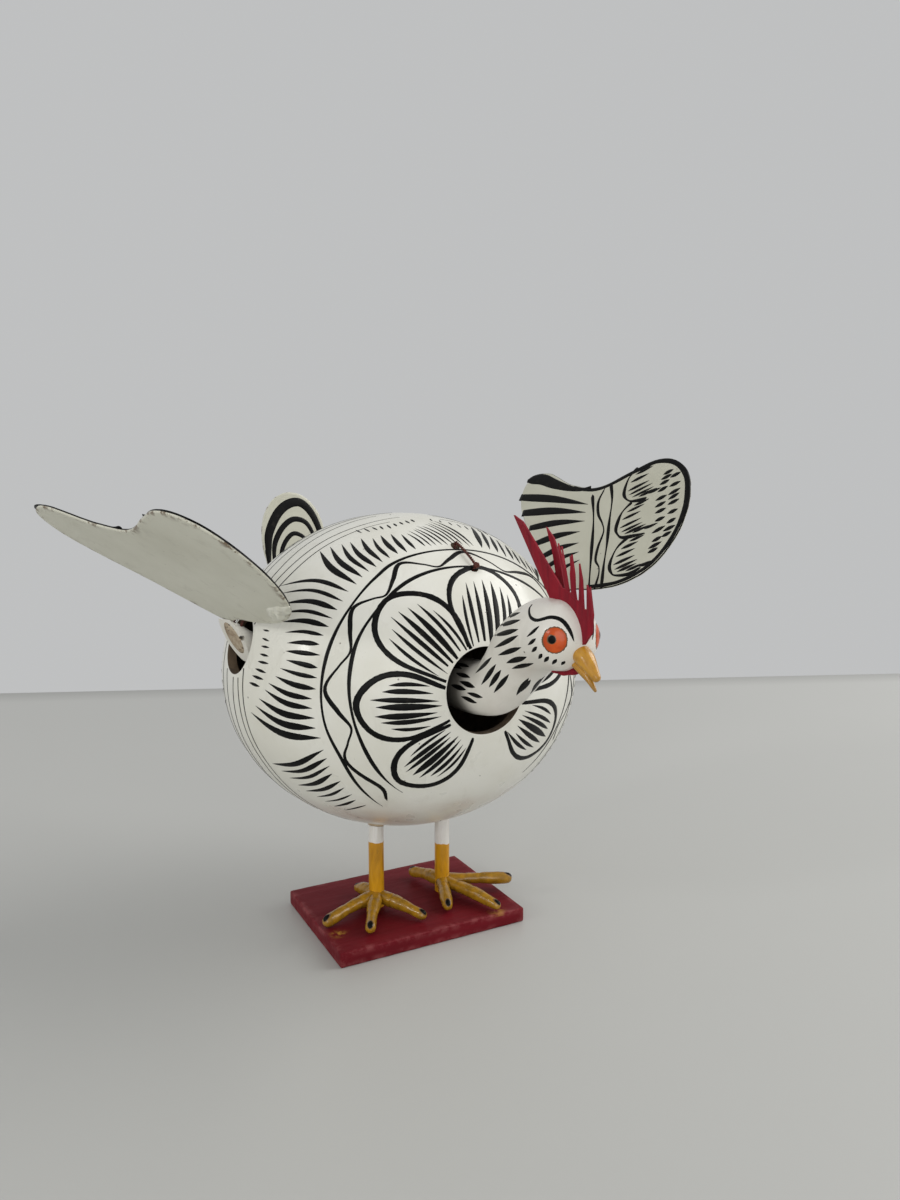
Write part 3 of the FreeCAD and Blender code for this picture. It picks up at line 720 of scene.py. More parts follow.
def thread_holes():
    """The small holes over each limb hole, and the two that the head's thread goes through."""
    spots = []
    limbs = [(wing_pivot(RIGHT), Vector((-1, 0, 0))), (wing_pivot(LEFT), Vector((1, 0, 0))),
             (TAIL_PIVOT, TAIL_OUT)]
    for pivot, out in limbs:
        sideways = UP.cross(out)
        for end in (-1, 1):
            start = pivot + sideways * (end * LOOP_HALF_WIDTH) + UP * LOOP_RISE
            spots.append((start - out * (16 * MM), out, THREAD_HOLE_RADIUS))
    for spot in stitch_points():
        way = (spot - STITCH_KNOT).normalized()
        spots.append((STITCH_KNOT + way * (4 * MM), way, THREAD_HOLE_RADIUS * 1.5))
    return spots


def stitch_points():
    """The front and rear ends of the stitch that lies on top of the gourd."""
    spots = []
    for tilt, turn in ((45.0, 82.6), (56.3, 86.2)):
        spot, out = on_gourd(FRONT_DIAL.point(tilt, turn))
        spots.append(spot + out * (1.1 * MM))
    return spots


def gourd_form(inset):
    """The gourd's smooth outer form or, with an inset, the slightly uneven hollow in it."""
    work = bmesh.new()
    bmesh.ops.create_uvsphere(work, u_segments=176, v_segments=120, radius=1.0)
    for vertex in work.verts:
        d = vertex.co.normalized()
        vertex.co = Vector((d.x * (GOURD_RADIUS - inset), d.y * (GOURD_RADIUS - inset),
                            GOURD_CENTRE.z + d.z * (GOURD_HALF_HEIGHT - inset)))
        if inset:
            wave = math.sin(5 * d.x + 2.1 * d.z) * math.cos(4 * d.y - 1.3)
            vertex.co += d * (wave * HOLLOW_UNEVENNESS)
    return work


def mesh_object(name, work):
    mesh = bpy.data.meshes.new(name)
    work.to_mesh(mesh)
    work.free()
    item = bpy.data.objects.new(name, mesh)
    bpy.context.collection.objects.link(item)
    return item


def drill(name, start, way, radius, length):
    work = bmesh.new()
    sides = 96 if radius > 3 * MM else 24
    bmesh.ops.create_cone(work, cap_ends=True, segments=sides, radius1=radius, radius2=radius,
                          depth=length)
    turn = Vector((0, 0, 1)).rotation_difference(way).to_matrix().to_4x4()
    place = Matrix.Translation(start + way * (length / 2)) @ turn
    bmesh.ops.transform(work, matrix=place, verts=work.verts)
    return mesh_object(name, work)


def carve(item, tools):
    """Cuts the tools out of a mesh object and removes them."""
    group = bpy.data.collections.new("tools")
    for tool in tools:
        group.objects.link(tool)
    cut = item.modifiers.new("cut", "BOOLEAN")
    cut.operation = "DIFFERENCE"
    cut.operand_type = "COLLECTION"
    cut.collection = group
    cut.solver = "EXACT"
    apply_modifiers(item)
    for tool in tools:
        bpy.data.objects.remove(tool)
    bpy.data.collections.remove(group)


def apply_modifiers(item):
    bpy.context.view_layer.update()
    graph = bpy.context.evaluated_depsgraph_get()
    mesh = bpy.data.meshes.new_from_object(item.evaluated_get(graph))
    item.modifiers.clear()
    item.data = mesh


def make_gourd(enamel, shaded_raw):
    """The hollow shell with its drilled holes: enamel outside, and in the holes and hollow bare gourd
    darkened with painted shade.
    """
    shell = mesh_object("gourd", gourd_form(0.0))
    tools = [mesh_object("hollow", gourd_form(GOURD_WALL))]
    for number, (start, way, radius) in enumerate(HOLES):
        tools.append(drill(f"hole_{number}", start + way * (40 * MM), way, radius, 40 * MM))
    for number, (start, way, radius) in enumerate(thread_holes()):
        tools.append(drill(f"thread_hole_{number}", start, way, radius, 26 * MM))
    for side in ("right", "left"):
        leg = middle_of(f"{side}_leg")
        low = Vector((leg.x, leg.y, 25 * MM))
        tools.append(drill(f"{side}_leg_hole", low, UP, LEG_HOLE_RADIUS, 20 * MM))
    carve(shell, tools)
    rim = shell.modifiers.new("rim", "BEVEL")
    rim.width = WORN_RIM
    rim.segments = 2
    rim.limit_method = "ANGLE"
    rim.angle_limit = math.radians(50)
    apply_modifiers(shell)
    mesh = shell.data
    mesh.materials.clear()
    mesh.materials.append(enamel)
    mesh.materials.append(shaded_raw)
    slots = []
    for face in mesh.polygons:
        spot, out = on_gourd(face.center)
        depth = (spot - face.center).dot(out)
        slots.append(1 if depth > BARE_BELOW_SKIN else 0)
    mesh.polygons.foreach_set("material_index", slots)
    mesh.polygons.foreach_set("use_smooth", [True] * len(mesh.polygons))
    settle(shell, "root", ["gourd_shell"])
    sharpen(shell, 35)


# The flower round the front hole: where each petal points, how far it reaches and how broad.
PETALS = [(81, 45.5, 1.0), (127, 43.3, 1.0), (180.5, 36.8, 1.08), (231, 36.0, 0.95),
          (325, 35.6, 1.10), (27, 40.0, 1.0)]
BACK_PETALS = [(90, 36.0, 1.0), (142, 35.0, 1.0), (196, 34.0, 1.05), (344, 34.0, 1.05),
               (38, 35.0, 1.0), (250, 32.0, 0.9), (290, 32.0, 0.9)]

# Half a petal: fraction of its reach, and half its opening angle there in degrees.
PETAL_SIDE = [(0.40, 22.5), (0.62, 23.5), (0.80, 19.5), (0.93, 11.5)]

# The two rings round the flower, as (turn, tilt) in degrees, with a gap at the bottom.
INNER_RING = [(-123.5, 39.3), (-152, 37.4), (-172, 37.7), (-195, 39.7), (-212, 41.6),
              (-229, 42.9), (-249, 45.0), (-272, 45.5), (-295, 45.4), (-318, 45.6),
              (-340, 42.0), (-360, 38.6), (-385, 37.4), (-417, 39.3)]
OUTER_RING = [(-122.2, 49.3), (-135, 47.3), (-154, 45.2), (-172, 46.3), (-193, 47.3),
              (-206, 48.1), (-223, 49.5), (-238, 51.6), (-249, 53.3), (-273, 53.4),
              (-300, 54.1), (-318, 53.0), (-340, 49.5), (-360, 46.8), (-386, 45.3),
              (-417, 49.0)]

# Where the wavy line between the rings touches the outer ring.
WAVE_CRESTS = [-152, -187, -223, -248, -276, -309, -340, -371, -402]

# Feather rows: how many, then (tilt, turn) of the inner end and of the outer end, first and
# last, how much each bows, and its width in millimetres, first and last.
FEATHERS = [
    (9, (52.8, 233), (49.3, 200), (62.9, 233), (72.6, 206.5), (0.0, 4.5), (0.9, 1.8)),
    (8, (48.9, 195), (49.2, 165), (74.0, 187.0), (60.0, 165.5), (4.5, 0.0), (2.1, 1.5)),
    (8, (50.2, 160), (53.1, 133), (60.5, 162), (76.5, 142.0), (0.0, -4.5), (1.3, 1.7)),
    (9, (54.0, 128.8), (56.0, 102), (75.8, 125.4), (65.4, 102), (3.5, 0.5), (2.0, 1.4)),
    (10, (56.0, 98), (56.0, 78), (65.5, 100), (73.6, 86.0), (-0.5, -1.2), (0.8, 1.1)),
    (9, (56.4, 75), (55.6, 46), (74.0, 71), (63.0, 49), (0.5, 1.2), (1.9, 1.2)),
]
DASH_ROWS = [(8, (73.0, 158), (74.0, 176.5), 3.0, 5.6), (9, (77.2, 111.5), (75.5, 93), 4.2, 2.8),
             (8, (76.0, 86), (75.0, 66), 2.8, 3.8)]
BAND_TILTS = [77.0, 80.4, 85.6, 91.5, 97.5]


def dial_line(dial, angles, count):
    return [dial.point(tilt, turn) for tilt, turn in smooth_line(angles, count)]


def draw_petal(paint, dial, turn, reach, breadth):
    """A bold outline that swells at the tip, then long tapered strokes inside it."""
    side = [(reach * part, half * breadth) for part, half in PETAL_SIDE]
    outline = [(12.6, turn - 22 * breadth)]
    outline += [(tilt, turn - half) for tilt, half in side] + [(reach, turn - 1.0)]
    outline += [(tilt, turn + half) for tilt, half in reversed(side)]
    outline.append((12.2, turn + 21 * breadth))
    count = 46
    fattest = 0.5 + rng.uniform(-0.14, 0.14)
    widths = tapered(count, 2.1 * MM, fattest, 0.36, 0.36)
    widths = [w * (0.92 + 0.16 * rng.random()) for w in widths]
    paint.stroke(dial_line(dial, outline, count), widths)
    strokes = 7
    for k in range(strokes):
        part = (k - (strokes - 1) / 2) / (strokes / 2) + rng.uniform(-0.03, 0.03)
        outer = (reach * (0.885 - 0.13 * part * part) + rng.uniform(-1.2, 0.8),
                 turn + 15.5 * breadth * part)
        inner = (13.4 + 5.5 * rng.random() * abs(part), turn + 22.5 * breadth * part)
        middle = ((outer[0] + inner[0]) / 2, (outer[1] + inner[1]) / 2 + 0.8 * part)
        width = (2.35 - 1.15 * abs(part)) * rng.uniform(0.75, 1.10) * MM
        paint.stroke(dial_line(dial, [outer, middle, inner], 18),
                     tapered(18, width, rng.uniform(0.34, 0.5)))


def ring_tilt(ring, turn):
    turns = [-a for a, _ in ring]
    return float(np.interp(-turn, turns, [t for _, t in ring]))


def draw_rings(paint, dial):
    for ring, width in ((INNER_RING, 1.45), (OUTER_RING, 1.35)):
        count = 150
        line = dial_line(dial, [(tilt, turn) for turn, tilt in ring], count)
        swell = [0.62 + 0.38 * math.sin(k * 0.11 + width * 9) ** 2 for k in range(count)]
        ends = tapered(count, 1.0)
        widths = [width * MM * s * min(1.0, 4.5 * e) for s, e in zip(swell, ends)]
        paint.stroke(line, widths)


def draw_wave(paint, dial):
    """The wavering line that swings from one ring to the other."""
    angles = []
    for start, end in zip(WAVE_CRESTS, WAVE_CRESTS[1:]):
        for part in (0.0, 0.27, 0.5, 0.73):
            turn = start + (end - start) * part
            swing = 0.5 + 0.36 * math.cos(2 * math.pi * part)
            inner, outer = ring_tilt(INNER_RING, turn), ring_tilt(OUTER_RING, turn)
            angles.append((inner + (outer - inner) * swing, turn + rng.uniform(-1, 1)))
    angles.insert(0, (45.6, -124))
    angles.insert(1, (41.8, -133))
    count = 190
    widths = [(0.72 + 0.95 * abs(math.sin(k * 0.135 + 0.6)) ** 3) * MM for k in range(count)]
    widths[0] = widths[-1] = 0.2 * MM
    paint.stroke(dial_line(dial, angles, count), widths)


def draw_feathers(paint, dial, row, flip=False):
    """One row of tapered strokes that fan out past the outer ring."""
    number, inner_a, inner_b, outer_a, outer_b, bows, widths = row
    for k in range(number):
        part = k / (number - 1)
        ends = []
        for first, last, ease in ((inner_a, inner_b, 1.0), (outer_a, outer_b, 1.25)):
            blend = part ** ease if first[0] < last[0] else 1 - (1 - part) ** ease
            tilt = first[0] + (last[0] - first[0]) * blend + rng.uniform(-0.6, 0.6)
            turn = first[1] + (last[1] - first[1]) * part + rng.uniform(-0.35, 0.35)
            ends.append((tilt, 180 - turn if flip else turn))
        bow = bows[0] + (bows[1] - bows[0]) * part
        bow = -bow if flip else bow
        middle = ((ends[0][0] + ends[1][0]) / 2, (ends[0][1] + ends[1][1]) / 2 + bow * 0.5)
        width = (widths[0] + (widths[1] - widths[0]) * part) * rng.uniform(0.85, 1.3) * MM
        paint.stroke(dial_line(dial, [ends[0], middle, ends[1]], 20),
                     tapered(20, width, rng.uniform(0.30, 0.46)))


def draw_dashes(paint, dial, row, flip=False):
    number, first, last, short, long = row
    for k in range(number):
        part = k / (number - 1)
        tilt = first[0] + (last[0] - first[0]) * part - 2.6 * math.sin(math.pi * part)
        turn = first[1] + (last[1] - first[1]) * part
        turn = 180 - turn if flip else turn
        length = short + (long - short) * part + rng.uniform(-0.5, 0.5)
        line = dial_line(dial, [(tilt, turn), (tilt - length, turn + rng.uniform(-0.4, 0.4))], 9)
        paint.stroke(line, tapered(9, (0.65 + 0.45 * part) * MM))


def draw_bands(paint):
    """Hair-thin lines round the gourd between the front pattern and the back one."""
    for tilt in BAND_TILTS:
        for start, end in ((-126, 82), (98, 234)):
            count = 90
            start += rng.uniform(-8, 8)
            phase = rng.uniform(0, 6)
            angles = []
            for k in range(12):
                turn = start + (end - start) * k / 11
                wobble = 1.1 * math.sin(turn * 0.05 + phase) + 0.4 * math.sin(turn * 0.17)
                angles.append((tilt + wobble, turn))
            widths = [w + 0.20 * MM for w in tapered(count, 0.42 * MM)]
            paint.stroke(dial_line(FRONT_DIAL, angles, count), widths)


def draw_specks(paint):
    """Stray drops of paint."""
    for _ in range(46):
        spot = FRONT_DIAL.point(rng.uniform(14, 150), rng.uniform(0, 360))
        size = rng.uniform(0.12, 0.34) * MM
        if clear_of_holes(spot):
            _, out = on_gourd(spot)
            across = out.orthogonal().normalized() * size
            paint.disc(spot, across, out.cross(across))


def paint_gourd(ink):
    paint = Paint(on_gourd, keep=clear_of_holes)
    for petal in PETALS:
        draw_petal(paint, FRONT_DIAL, *petal)
    draw_rings(paint, FRONT_DIAL)
    draw_wave(paint, FRONT_DIAL)
    for number, row in enumerate(FEATHERS):
        draw_feathers(paint, FRONT_DIAL, row)
        if number < 3:
            draw_feathers(paint, FRONT_DIAL, row, flip=True)
    for number, row in enumerate(DASH_ROWS):
        draw_dashes(paint, FRONT_DIAL, row)
        if number == 0:
            draw_dashes(paint, FRONT_DIAL, row, flip=True)
    draw_bands(paint)
    draw_specks(paint)
    paint.piece("gourd_brushwork", ink, "root", "shell_enamel")

    back = Paint(on_gourd, keep=clear_of_holes)
    for petal in BACK_PETALS:
        draw_petal(back, BACK_DIAL, *petal)
    draw_rings(back, BACK_DIAL)
    draw_wave(back, BACK_DIAL)
    for row in FEATHERS[:4]:
        draw_feathers(back, BACK_DIAL, row)
        draw_feathers(back, BACK_DIAL, row, flip=True)
    back.piece("gourd_back_brushwork", ink, "root", "shell_enamel")


# ---------------------------------------------------------------- board, legs and feet

def make_board(material):
    """The board with sanded, slightly uneven edges."""
    low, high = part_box("base_board")
    work = bmesh.new()
    bmesh.ops.create_cube(work, size=1.0)
    span = high - low
    for vertex in work.verts:
        vertex.co = Vector((vertex.co.x * span.x, vertex.co.y * span.y, vertex.co.z * span.z))
        vertex.co += (low + high) / 2
    bmesh.ops.bevel(work, geom=work.edges[:], offset=0.75 * MM, segments=3, profile=0.6,
                    affect="EDGES")
    bmesh.ops.subdivide_edges(work, edges=[e for e in work.edges if e.calc_length() > 3 * MM],
                              cuts=40, use_grid_fill=True)
    for vertex in work.verts:
        if vertex.co.z > low.z + 0.5 * MM:
            wave = math.sin(vertex.co.x * 310) + math.sin(vertex.co.y * 270 + vertex.co.x * 90)
            vertex.co.z -= 0.04 * MM * (1 + wave / 2)
        inward = Vector(((low.x + high.x) / 2 - vertex.co.x, (low.y + high.y) / 2 - vertex.co.y, 0))
        vertex.co += inward.normalized() * 0.05 * MM * (1 + math.sin(vertex.co.x * 700))
    board = mesh_object("board", work)
    board.data.materials.append(material)
    board.data.polygons.foreach_set("use_smooth", [True] * len(board.data.polygons))
    paint_mark(board, "edge", lambda p: edge_nearness(p, low, high))
    paint_mark(board, "smear", toe_smear)
    settle(board, "root", ["base_board"])
    sharpen(board, 30)


def edge_nearness(point, low, high):
    """1 on the board's edges, falling to 0 a little way in."""
    gaps = sorted([min(point.x - low.x, high.x - point.x), min(point.y - low.y, high.y - point.y),
                   min(point.z - low.z, high.z - point.z)])
    return max(0.0, 1.0 - (gaps[0] + gaps[1]) / (2.2 * MM))


SMEARS = [(-32.0, -20.5), (21.0, -31.0)]
SMEAR_RADIUS = 3.2 * MM


def toe_smear(point):
    """Yellow paint that ran off two toes on to the board."""
    if point.z < BOARD_TOP - 1 * MM:
        return 0.0
    nearest = min((Vector((point.x, point.y)) - Vector(spot) * MM).length for spot in SMEARS)
    return max(0.0, 1.0 - nearest / SMEAR_RADIUS)


# Where each toe's tip rests, in millimetres.
TOE_TIPS = {
    "right": {"outer": (-33.6, -15.2, 7.2), "middle": (-23.0, -25.6, 7.2),
              "inner": (-4.6, -25.4, 7.2), "rear": (-15.5, 3.2, 7.2)},
    "left": {"outer": (32.8, -18.0, 9.2), "middle": (20.6, -31.0, 7.4),
             "inner": (6.2, -23.4, 7.2), "rear": (7.2, 5.6, 7.6)},
}
TOE_ROOT_HEIGHT = 8.2 * MM


def make_toe(side, toe, tip, enamel, ink, rim):
    """A rolled toe that arches from the leg, with creases and a painted nail."""
    leg = middle_of(f"{side}_leg")
    tip = Vector(tip) * MM
    outward = Vector((tip.x - leg.x, tip.y - leg.y, 0))
    length = outward.length
    outward.normalize()
    sideways = UP.cross(outward)
    start = Vector((leg.x, leg.y, TOE_ROOT_HEIGHT + 0.3 * MM)) + outward * (1.2 * MM)
    wander = rng.uniform(-0.5, 0.5) * MM
    arch = (start + tip) / 2 + UP * (0.5 * MM) + sideways * wander
    steps = 44
    centres = vectors(smooth_line([start, arch, tip], steps))
    radii = []
    for k in range(steps):
        part = k / (steps - 1)
        radius = (2.35 - 0.55 * part + 0.22 * math.sin(part * 7 + length * 900)) * MM
        end = (centres[-1] - centres[k]).length + 1.8 * MM
        cap = 1.0 - min(1.0, end / (2.6 * MM))
        radii.append(max(radius * math.sqrt(max(1 - cap * cap, 0.0)), 0.15 * MM))
    centres += [tip + outward * (1.8 * MM * math.sin(a)) for a in (0.4, 0.8, 1.15, 1.45)]
    radii += [radii[-1] * math.cos(a) for a in (0.4, 0.8, 1.15, 1.45)]
    creases = [rng.uniform(0.22, 0.34), rng.uniform(0.5, 0.62)]

    def crease_at(part):
        return sum(math.exp(-((part - c) / 0.022) ** 2) for c in creases)

    def lumps(k, turn):
        part = k / (steps - 1)
        return (1.0 - 0.07 * crease_at(part) + 0.035 * math.sin(2 * turn + part * 5)
                + 0.02 * math.sin(5 * turn + part * 23))

    points, faces = swept_tube(centres, radii, 28, frames_along(centres, sideways), lumps)
    floor = BOARD_TOP - 0.02 * MM
    for point in points:
        if (point - centres[0]).dot(outward) < length * 0.95:
            point.z = max(point.z, floor)
    name = f"{side}_{toe}_toe"
    piece = new_piece(name + "_roll", points, faces, [enamel], "root", [name])
    face_outward(piece)
    # Marks for painted shade: low on the toe near the board, and in its creases.
    paint_mark(piece, "low", lambda p: min(1.0, max(0.0, (7.0 * MM - p.z) / (1.8 * MM))))
    paint_mark(piece, "crease_shade", lambda p: min(1.0, crease_at(
        (p - centres[0]).dot(outward) / length)))
    surface = mesh_surface(piece)
    nail = tip + UP * (1.3 * MM) + outward * (0.9 * MM)
    edge = Paint(surface, 0.05 * MM)
    edge.disc(nail, sideways * (1.30 * MM), (outward * 2.1 - UP * 0.9) * MM)
    edge.piece(name + "_nail_rim", rim, "root", "toe_paste")
    dark = Paint(surface, 0.13 * MM)
    dark.disc(nail, sideways * (0.98 * MM), (outward * 1.65 - UP * 0.7) * MM)
    dark.piece(name + "_nail", ink, "root", "toe_paste")


def make_leg_glue(side, material):
    """A lumpy collar of glue round the leg where it enters the gourd."""
    leg = middle_of(f"{side}_leg")
    points, faces = [], []
    rings, spokes, hug = 9, 48, 2.62
    for ring in range(rings):
        part = ring / (rings - 1)
        for k in range(spokes):
            turn = 2 * math.pi * k / spokes
            reach = hug + part * (1.5 + 0.35 * math.sin(2 * turn) + 0.2 * math.sin(5 * turn))
            drop = 1.5 * (1 - part) ** 1.8
            spot = Vector((leg.x + math.cos(turn) * reach * MM, leg.y + math.sin(turn) * reach * MM,
                           30 * MM))
            skin = gourd_underside(spot)
            points.append(Vector((spot.x, spot.y, skin - drop * MM)))
    for k in range(spokes):
        turn = 2 * math.pi * k / spokes
        spot = Vector((leg.x + math.cos(turn) * hug * MM, leg.y + math.sin(turn) * hug * MM, 0))
        points.append(Vector((spot.x, spot.y, gourd_underside(spot) + 0.3 * MM)))
    for ring in range(rings + 1):
        inner = ring * spokes
        outer = ((ring + 1) % (rings + 1)) * spokes
        for k in range(spokes):
            after = (k + 1) % spokes
            faces.append((inner + k, inner + after, outer + after, outer + k))
    piece = new_piece(f"{side}_glue_collar", points, faces, [material], "root",
                      [f"{side}_leg_glue"])
    face_outward(piece)


def gourd_underside(point):
    """The height of the gourd's skin under a point."""
    flat = math.hypot(point.x, point.y) / GOURD_RADIUS
    return GOURD_CENTRE.z - GOURD_HALF_HEIGHT * math.sqrt(1 - flat * flat)


# ---------------------------------------------------------------- threads

def make_thread(name, route, radius, material, body, node, knots=()):
    """A two-ply twisted thread along a route, with a round knot at each given point."""
    line = vectors(smooth_line(route, 26 * (len(route) - 1)))
    pairs = frames_along(line, Vector((0.31, 0.17, 0.93)))
    points, faces = [], []
    travelled = 0.0
    turns = []
    for k, spot in enumerate(line):
        travelled += (spot - line[k - 1]).length if k else 0.0
        turns.append(travelled / (1.6 * MM) * 2 * math.pi)
    for ply in (0.0, math.pi):
        centres = [spot + (first * math.cos(turn + ply) + second * math.sin(turn + ply))
                   * (radius * 0.46) for spot, (first, second), turn in zip(line, pairs, turns)]
        strand, strips = swept_tube(centres, [radius * 0.54] * len(line), 8, pairs)
        faces += [[index + len(points) for index in face] for face in strips]
        points += strand
    for knot in knots:
        offset = len(points)
        work = bmesh.new()
        bmesh.ops.create_icosphere(work, subdivisions=3, radius=0.95 * MM)
        for vertex in work.verts:
            lump = 1.0 + 0.13 * math.sin(vertex.co.x * 5200 + vertex.co.z * 4100)
            points.append(knot + vertex.co * lump)
        faces += [[v.index + offset for v in face.verts] for face in work.faces]
        work.free()
    piece = new_piece(name, points, faces, [material], body, [node])
    face_outward(piece)


def make_limb_thread(name, pivot, out, material):
    sideways = UP.cross(out)
    wide = sideways * LOOP_HALF_WIDTH
    rise = UP * LOOP_RISE
    half = [pivot - out * (11.6 * MM) + rise, pivot - out * (6.0 * MM) + rise,
            pivot - out * (1.6 * MM) + rise * 0.80, pivot + rise * 0.2]
    route = [spot - wide * scale for spot, scale in zip(half, (1.0, 1.0, 0.95, 0.5))]
    route.append(pivot)
    route += [spot + wide * scale
              for spot, scale in reversed(list(zip(half, (1.0, 1.0, 0.95, 0.5))))]
    make_thread(name + "_twist", route, 0.5 * MM, material, "root", name,
                [route[0], route[-1]])


def make_head_threads(material):
    front, rear = stitch_points()
    up_a = STITCH_KNOT.lerp(front, 0.5)
    up_b = STITCH_KNOT.lerp(rear, 0.5)
    _, out = on_gourd(front)
    top = front.lerp(rear, 0.5) + out * (0.35 * MM)
    route = [STITCH_KNOT, up_a, front.lerp(up_a, 0.12), front.lerp(top, 0.25), top,
             rear.lerp(top, 0.25), rear.lerp(up_b, 0.12), up_b, STITCH_KNOT + Vector((0, 0.3, 0)) * MM]
    make_thread("stitch_twist", route, 0.5 * MM, material, "root", "head_stitch",
                [STITCH_KNOT, front + out * (0.2 * MM)])
    low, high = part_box("head_hanger")
    foot = Vector((0, (low.y + high.y) / 2, low.z + 0.5 * MM))
    ring = []
    for k in range(13):
        turn = 2 * math.pi * k / 12 + math.pi / 2
        ring.append(foot + Vector((0, math.cos(turn) * 1.5 * MM, (1.5 + math.sin(turn) * 1.5) * MM)))
    head = ring[0]
    route = ring + [head.lerp(Vector((0, foot.y, high.z)), part) for part in (0.25, 0.6, 1.0)]
    make_thread("hanger_twist", route, 0.46 * MM, material, "head_hanger", "head_hanger")


# ---------------------------------------------------------------- wings and tail

# A wing's outline as (outward, backward) and the tail's as (sideways, upward), in millimetres
# from the root, with a spot inside each that every part of its outline can be seen from.
WING_OUTLINE = [
    (68.0, 0.5), (65.0, -7.5), (52.0, -17.0), (43.0, -28.5), (41.3, -44.0), (39.8, -54.0),
    (34.0, -61.0), (24.5, -63.5), (12.0, -60.0), (2.0, -52.5), (-4.3, -42.0), (-5.0, -30.0),
    (-1.5, -19.0), (3.2, -10.0), (4.4, -3.5), (11.0, -0.5), (31.0, 3.5), (47.0, 7.2),
    (58.0, 8.3), (65.5, 5.6),
]
WING_HUB = (20.0, -22.0)
TAIL_OUTLINE = [
    (6.5, 0.0), (10.5, 12.0), (14.2, 26.0), (13.4, 38.0), (8.0, 46.5), (0.0, 49.5),
    (-8.0, 46.5), (-13.4, 38.0), (-14.2, 26.0), (-10.5, 12.0), (-6.5, 0.0), (0.0, -1.5),
]
TAIL_HUB = (0.0, 24.0)
TAIL_SLOPE = math.radians(80.0)
TAIL_ROOT = TAIL_PIVOT + TAIL_OUT * (10 * MM) - UP * (5.1 * MM)

# Each wing's slope, heading and spin in degrees, and its plane's distance from the pivot.
WING_POSES = {RIGHT: (39.4, -22.1, 0.0, 2.0), LEFT: (59.8, 11.7, 56.3, -1.0)}
WING_RAISED = {RIGHT: 0.0, LEFT: 1.6 * MM}

# Each peg's reach inwards and outwards from the thread in millimetres, and its tilt in degrees.
PEGS = {"right_wing": (18.0, 9.5, 34.0), "left_wing": (20.0, 14.0, 42.0),
        "tail": (13.0, 16.0, 14.0)}

# How far each peg sits from the line through its thread's eye, and how far in from its outer
# end the slanted cut starts, in millimetres.
PEG_SHIFTS = {"right_wing": (-2.1, -2.4, 3.2), "left_wing": (0, 0, 0), "tail": (0, 0, 0)}
PEG_CUT_BACK = {"right_wing": 5.4, "left_wing": 3.0, "tail": 3.0}


class Blade:
    """A thin blade's own plane: two axes, the way its painted face looks, and its place."""

    def __init__(self, root, first, second, normal, bow=0.0):
        self.root = root
        self.first = first
        self.second = second
        self.normal = normal
        self.bow = bow

    def lift_at(self, a, b):
        return self.bow * math.sin(a * 0.055 + 0.4) * math.cos(b * 0.045) * MM

    def point(self, a, b, level=0.5):
        flat = self.root + self.first * (a * MM) + self.second * (b * MM)
        return flat + self.normal * (level * BLADE_THICK + self.lift_at(a, b))

    def face(self, point):
        """The nearest spot on the painted face, and its normal."""
        reach = Vector(point) - self.root
        a, b = reach.dot(self.first) / MM, reach.dot(self.second) / MM
        along = self.point(a + 0.1, b) - self.point(a - 0.1, b)
        over = self.point(a, b + 0.1) - self.point(a, b - 0.1)
        normal = along.cross(over).normalized()
        if normal.dot(self.normal) < 0:
            normal = -normal
        return self.point(a, b), normal

    def lay(self, pairs, count):
        return [self.point(a, b) for a, b in smooth_line(pairs, count)]


def wing_blade(side):
    slope, heading, spin = (math.radians(a) for a in WING_POSES[side][:3])
    normal = Vector((-math.sin(slope) * math.cos(heading), -math.sin(slope) * math.sin(heading),
                     math.cos(slope)))
    across = (Vector((1, 0, 0)) - normal * normal.x).normalized()
    back = normal.cross(across)
    outward = across * math.cos(spin) + back * math.sin(spin)
    backward = back * math.cos(spin) - across * math.sin(spin)
    outward, backward, normal = (Vector((side * v.x, v.y, v.z))
                                 for v in (outward, backward, normal))
    root = wing_pivot(side) + normal * (WING_POSES[side][3] * MM) + UP * WING_RAISED[side]
    return Blade(root, outward, backward, normal, 0.22)


def tail_blade():
    upward = TAIL_OUT * math.cos(TAIL_SLOPE) + UP * math.sin(TAIL_SLOPE)
    inward = TAIL_SIDE.cross(upward)
    return Blade(TAIL_ROOT + inward * (BLADE_THICK / 2), TAIL_SIDE, upward, inward, 0.0)


def closed_line(pairs, count):
    """Evenly spread samples of a smooth closed curve."""
    looped = list(pairs[-2:]) + list(pairs) + list(pairs[:3])
    dense = smooth_line(looped, 1 + 24 * (len(looped) - 1))[48:48 + 24 * len(pairs) + 1]
    steps = np.linalg.norm(np.diff(dense, axis=0), axis=1)
    travelled = np.concatenate([[0.0], np.cumsum(steps)])
    places = np.linspace(0, travelled[-1], count, endpoint=False)
    return np.stack([np.interp(places, travelled, dense[:, k]) for k in (0, 1)], axis=1)


def inward_steps(line, ahead, hub):
    """At each point of a line, one step across it towards the hub."""
    across = np.stack([-ahead[:, 1], ahead[:, 0]], axis=1)
    across /= np.linalg.norm(across, axis=1)[:, None]
    return across * np.sign(np.sum(across * (np.asarray(hub) - line), axis=1))[:, None]


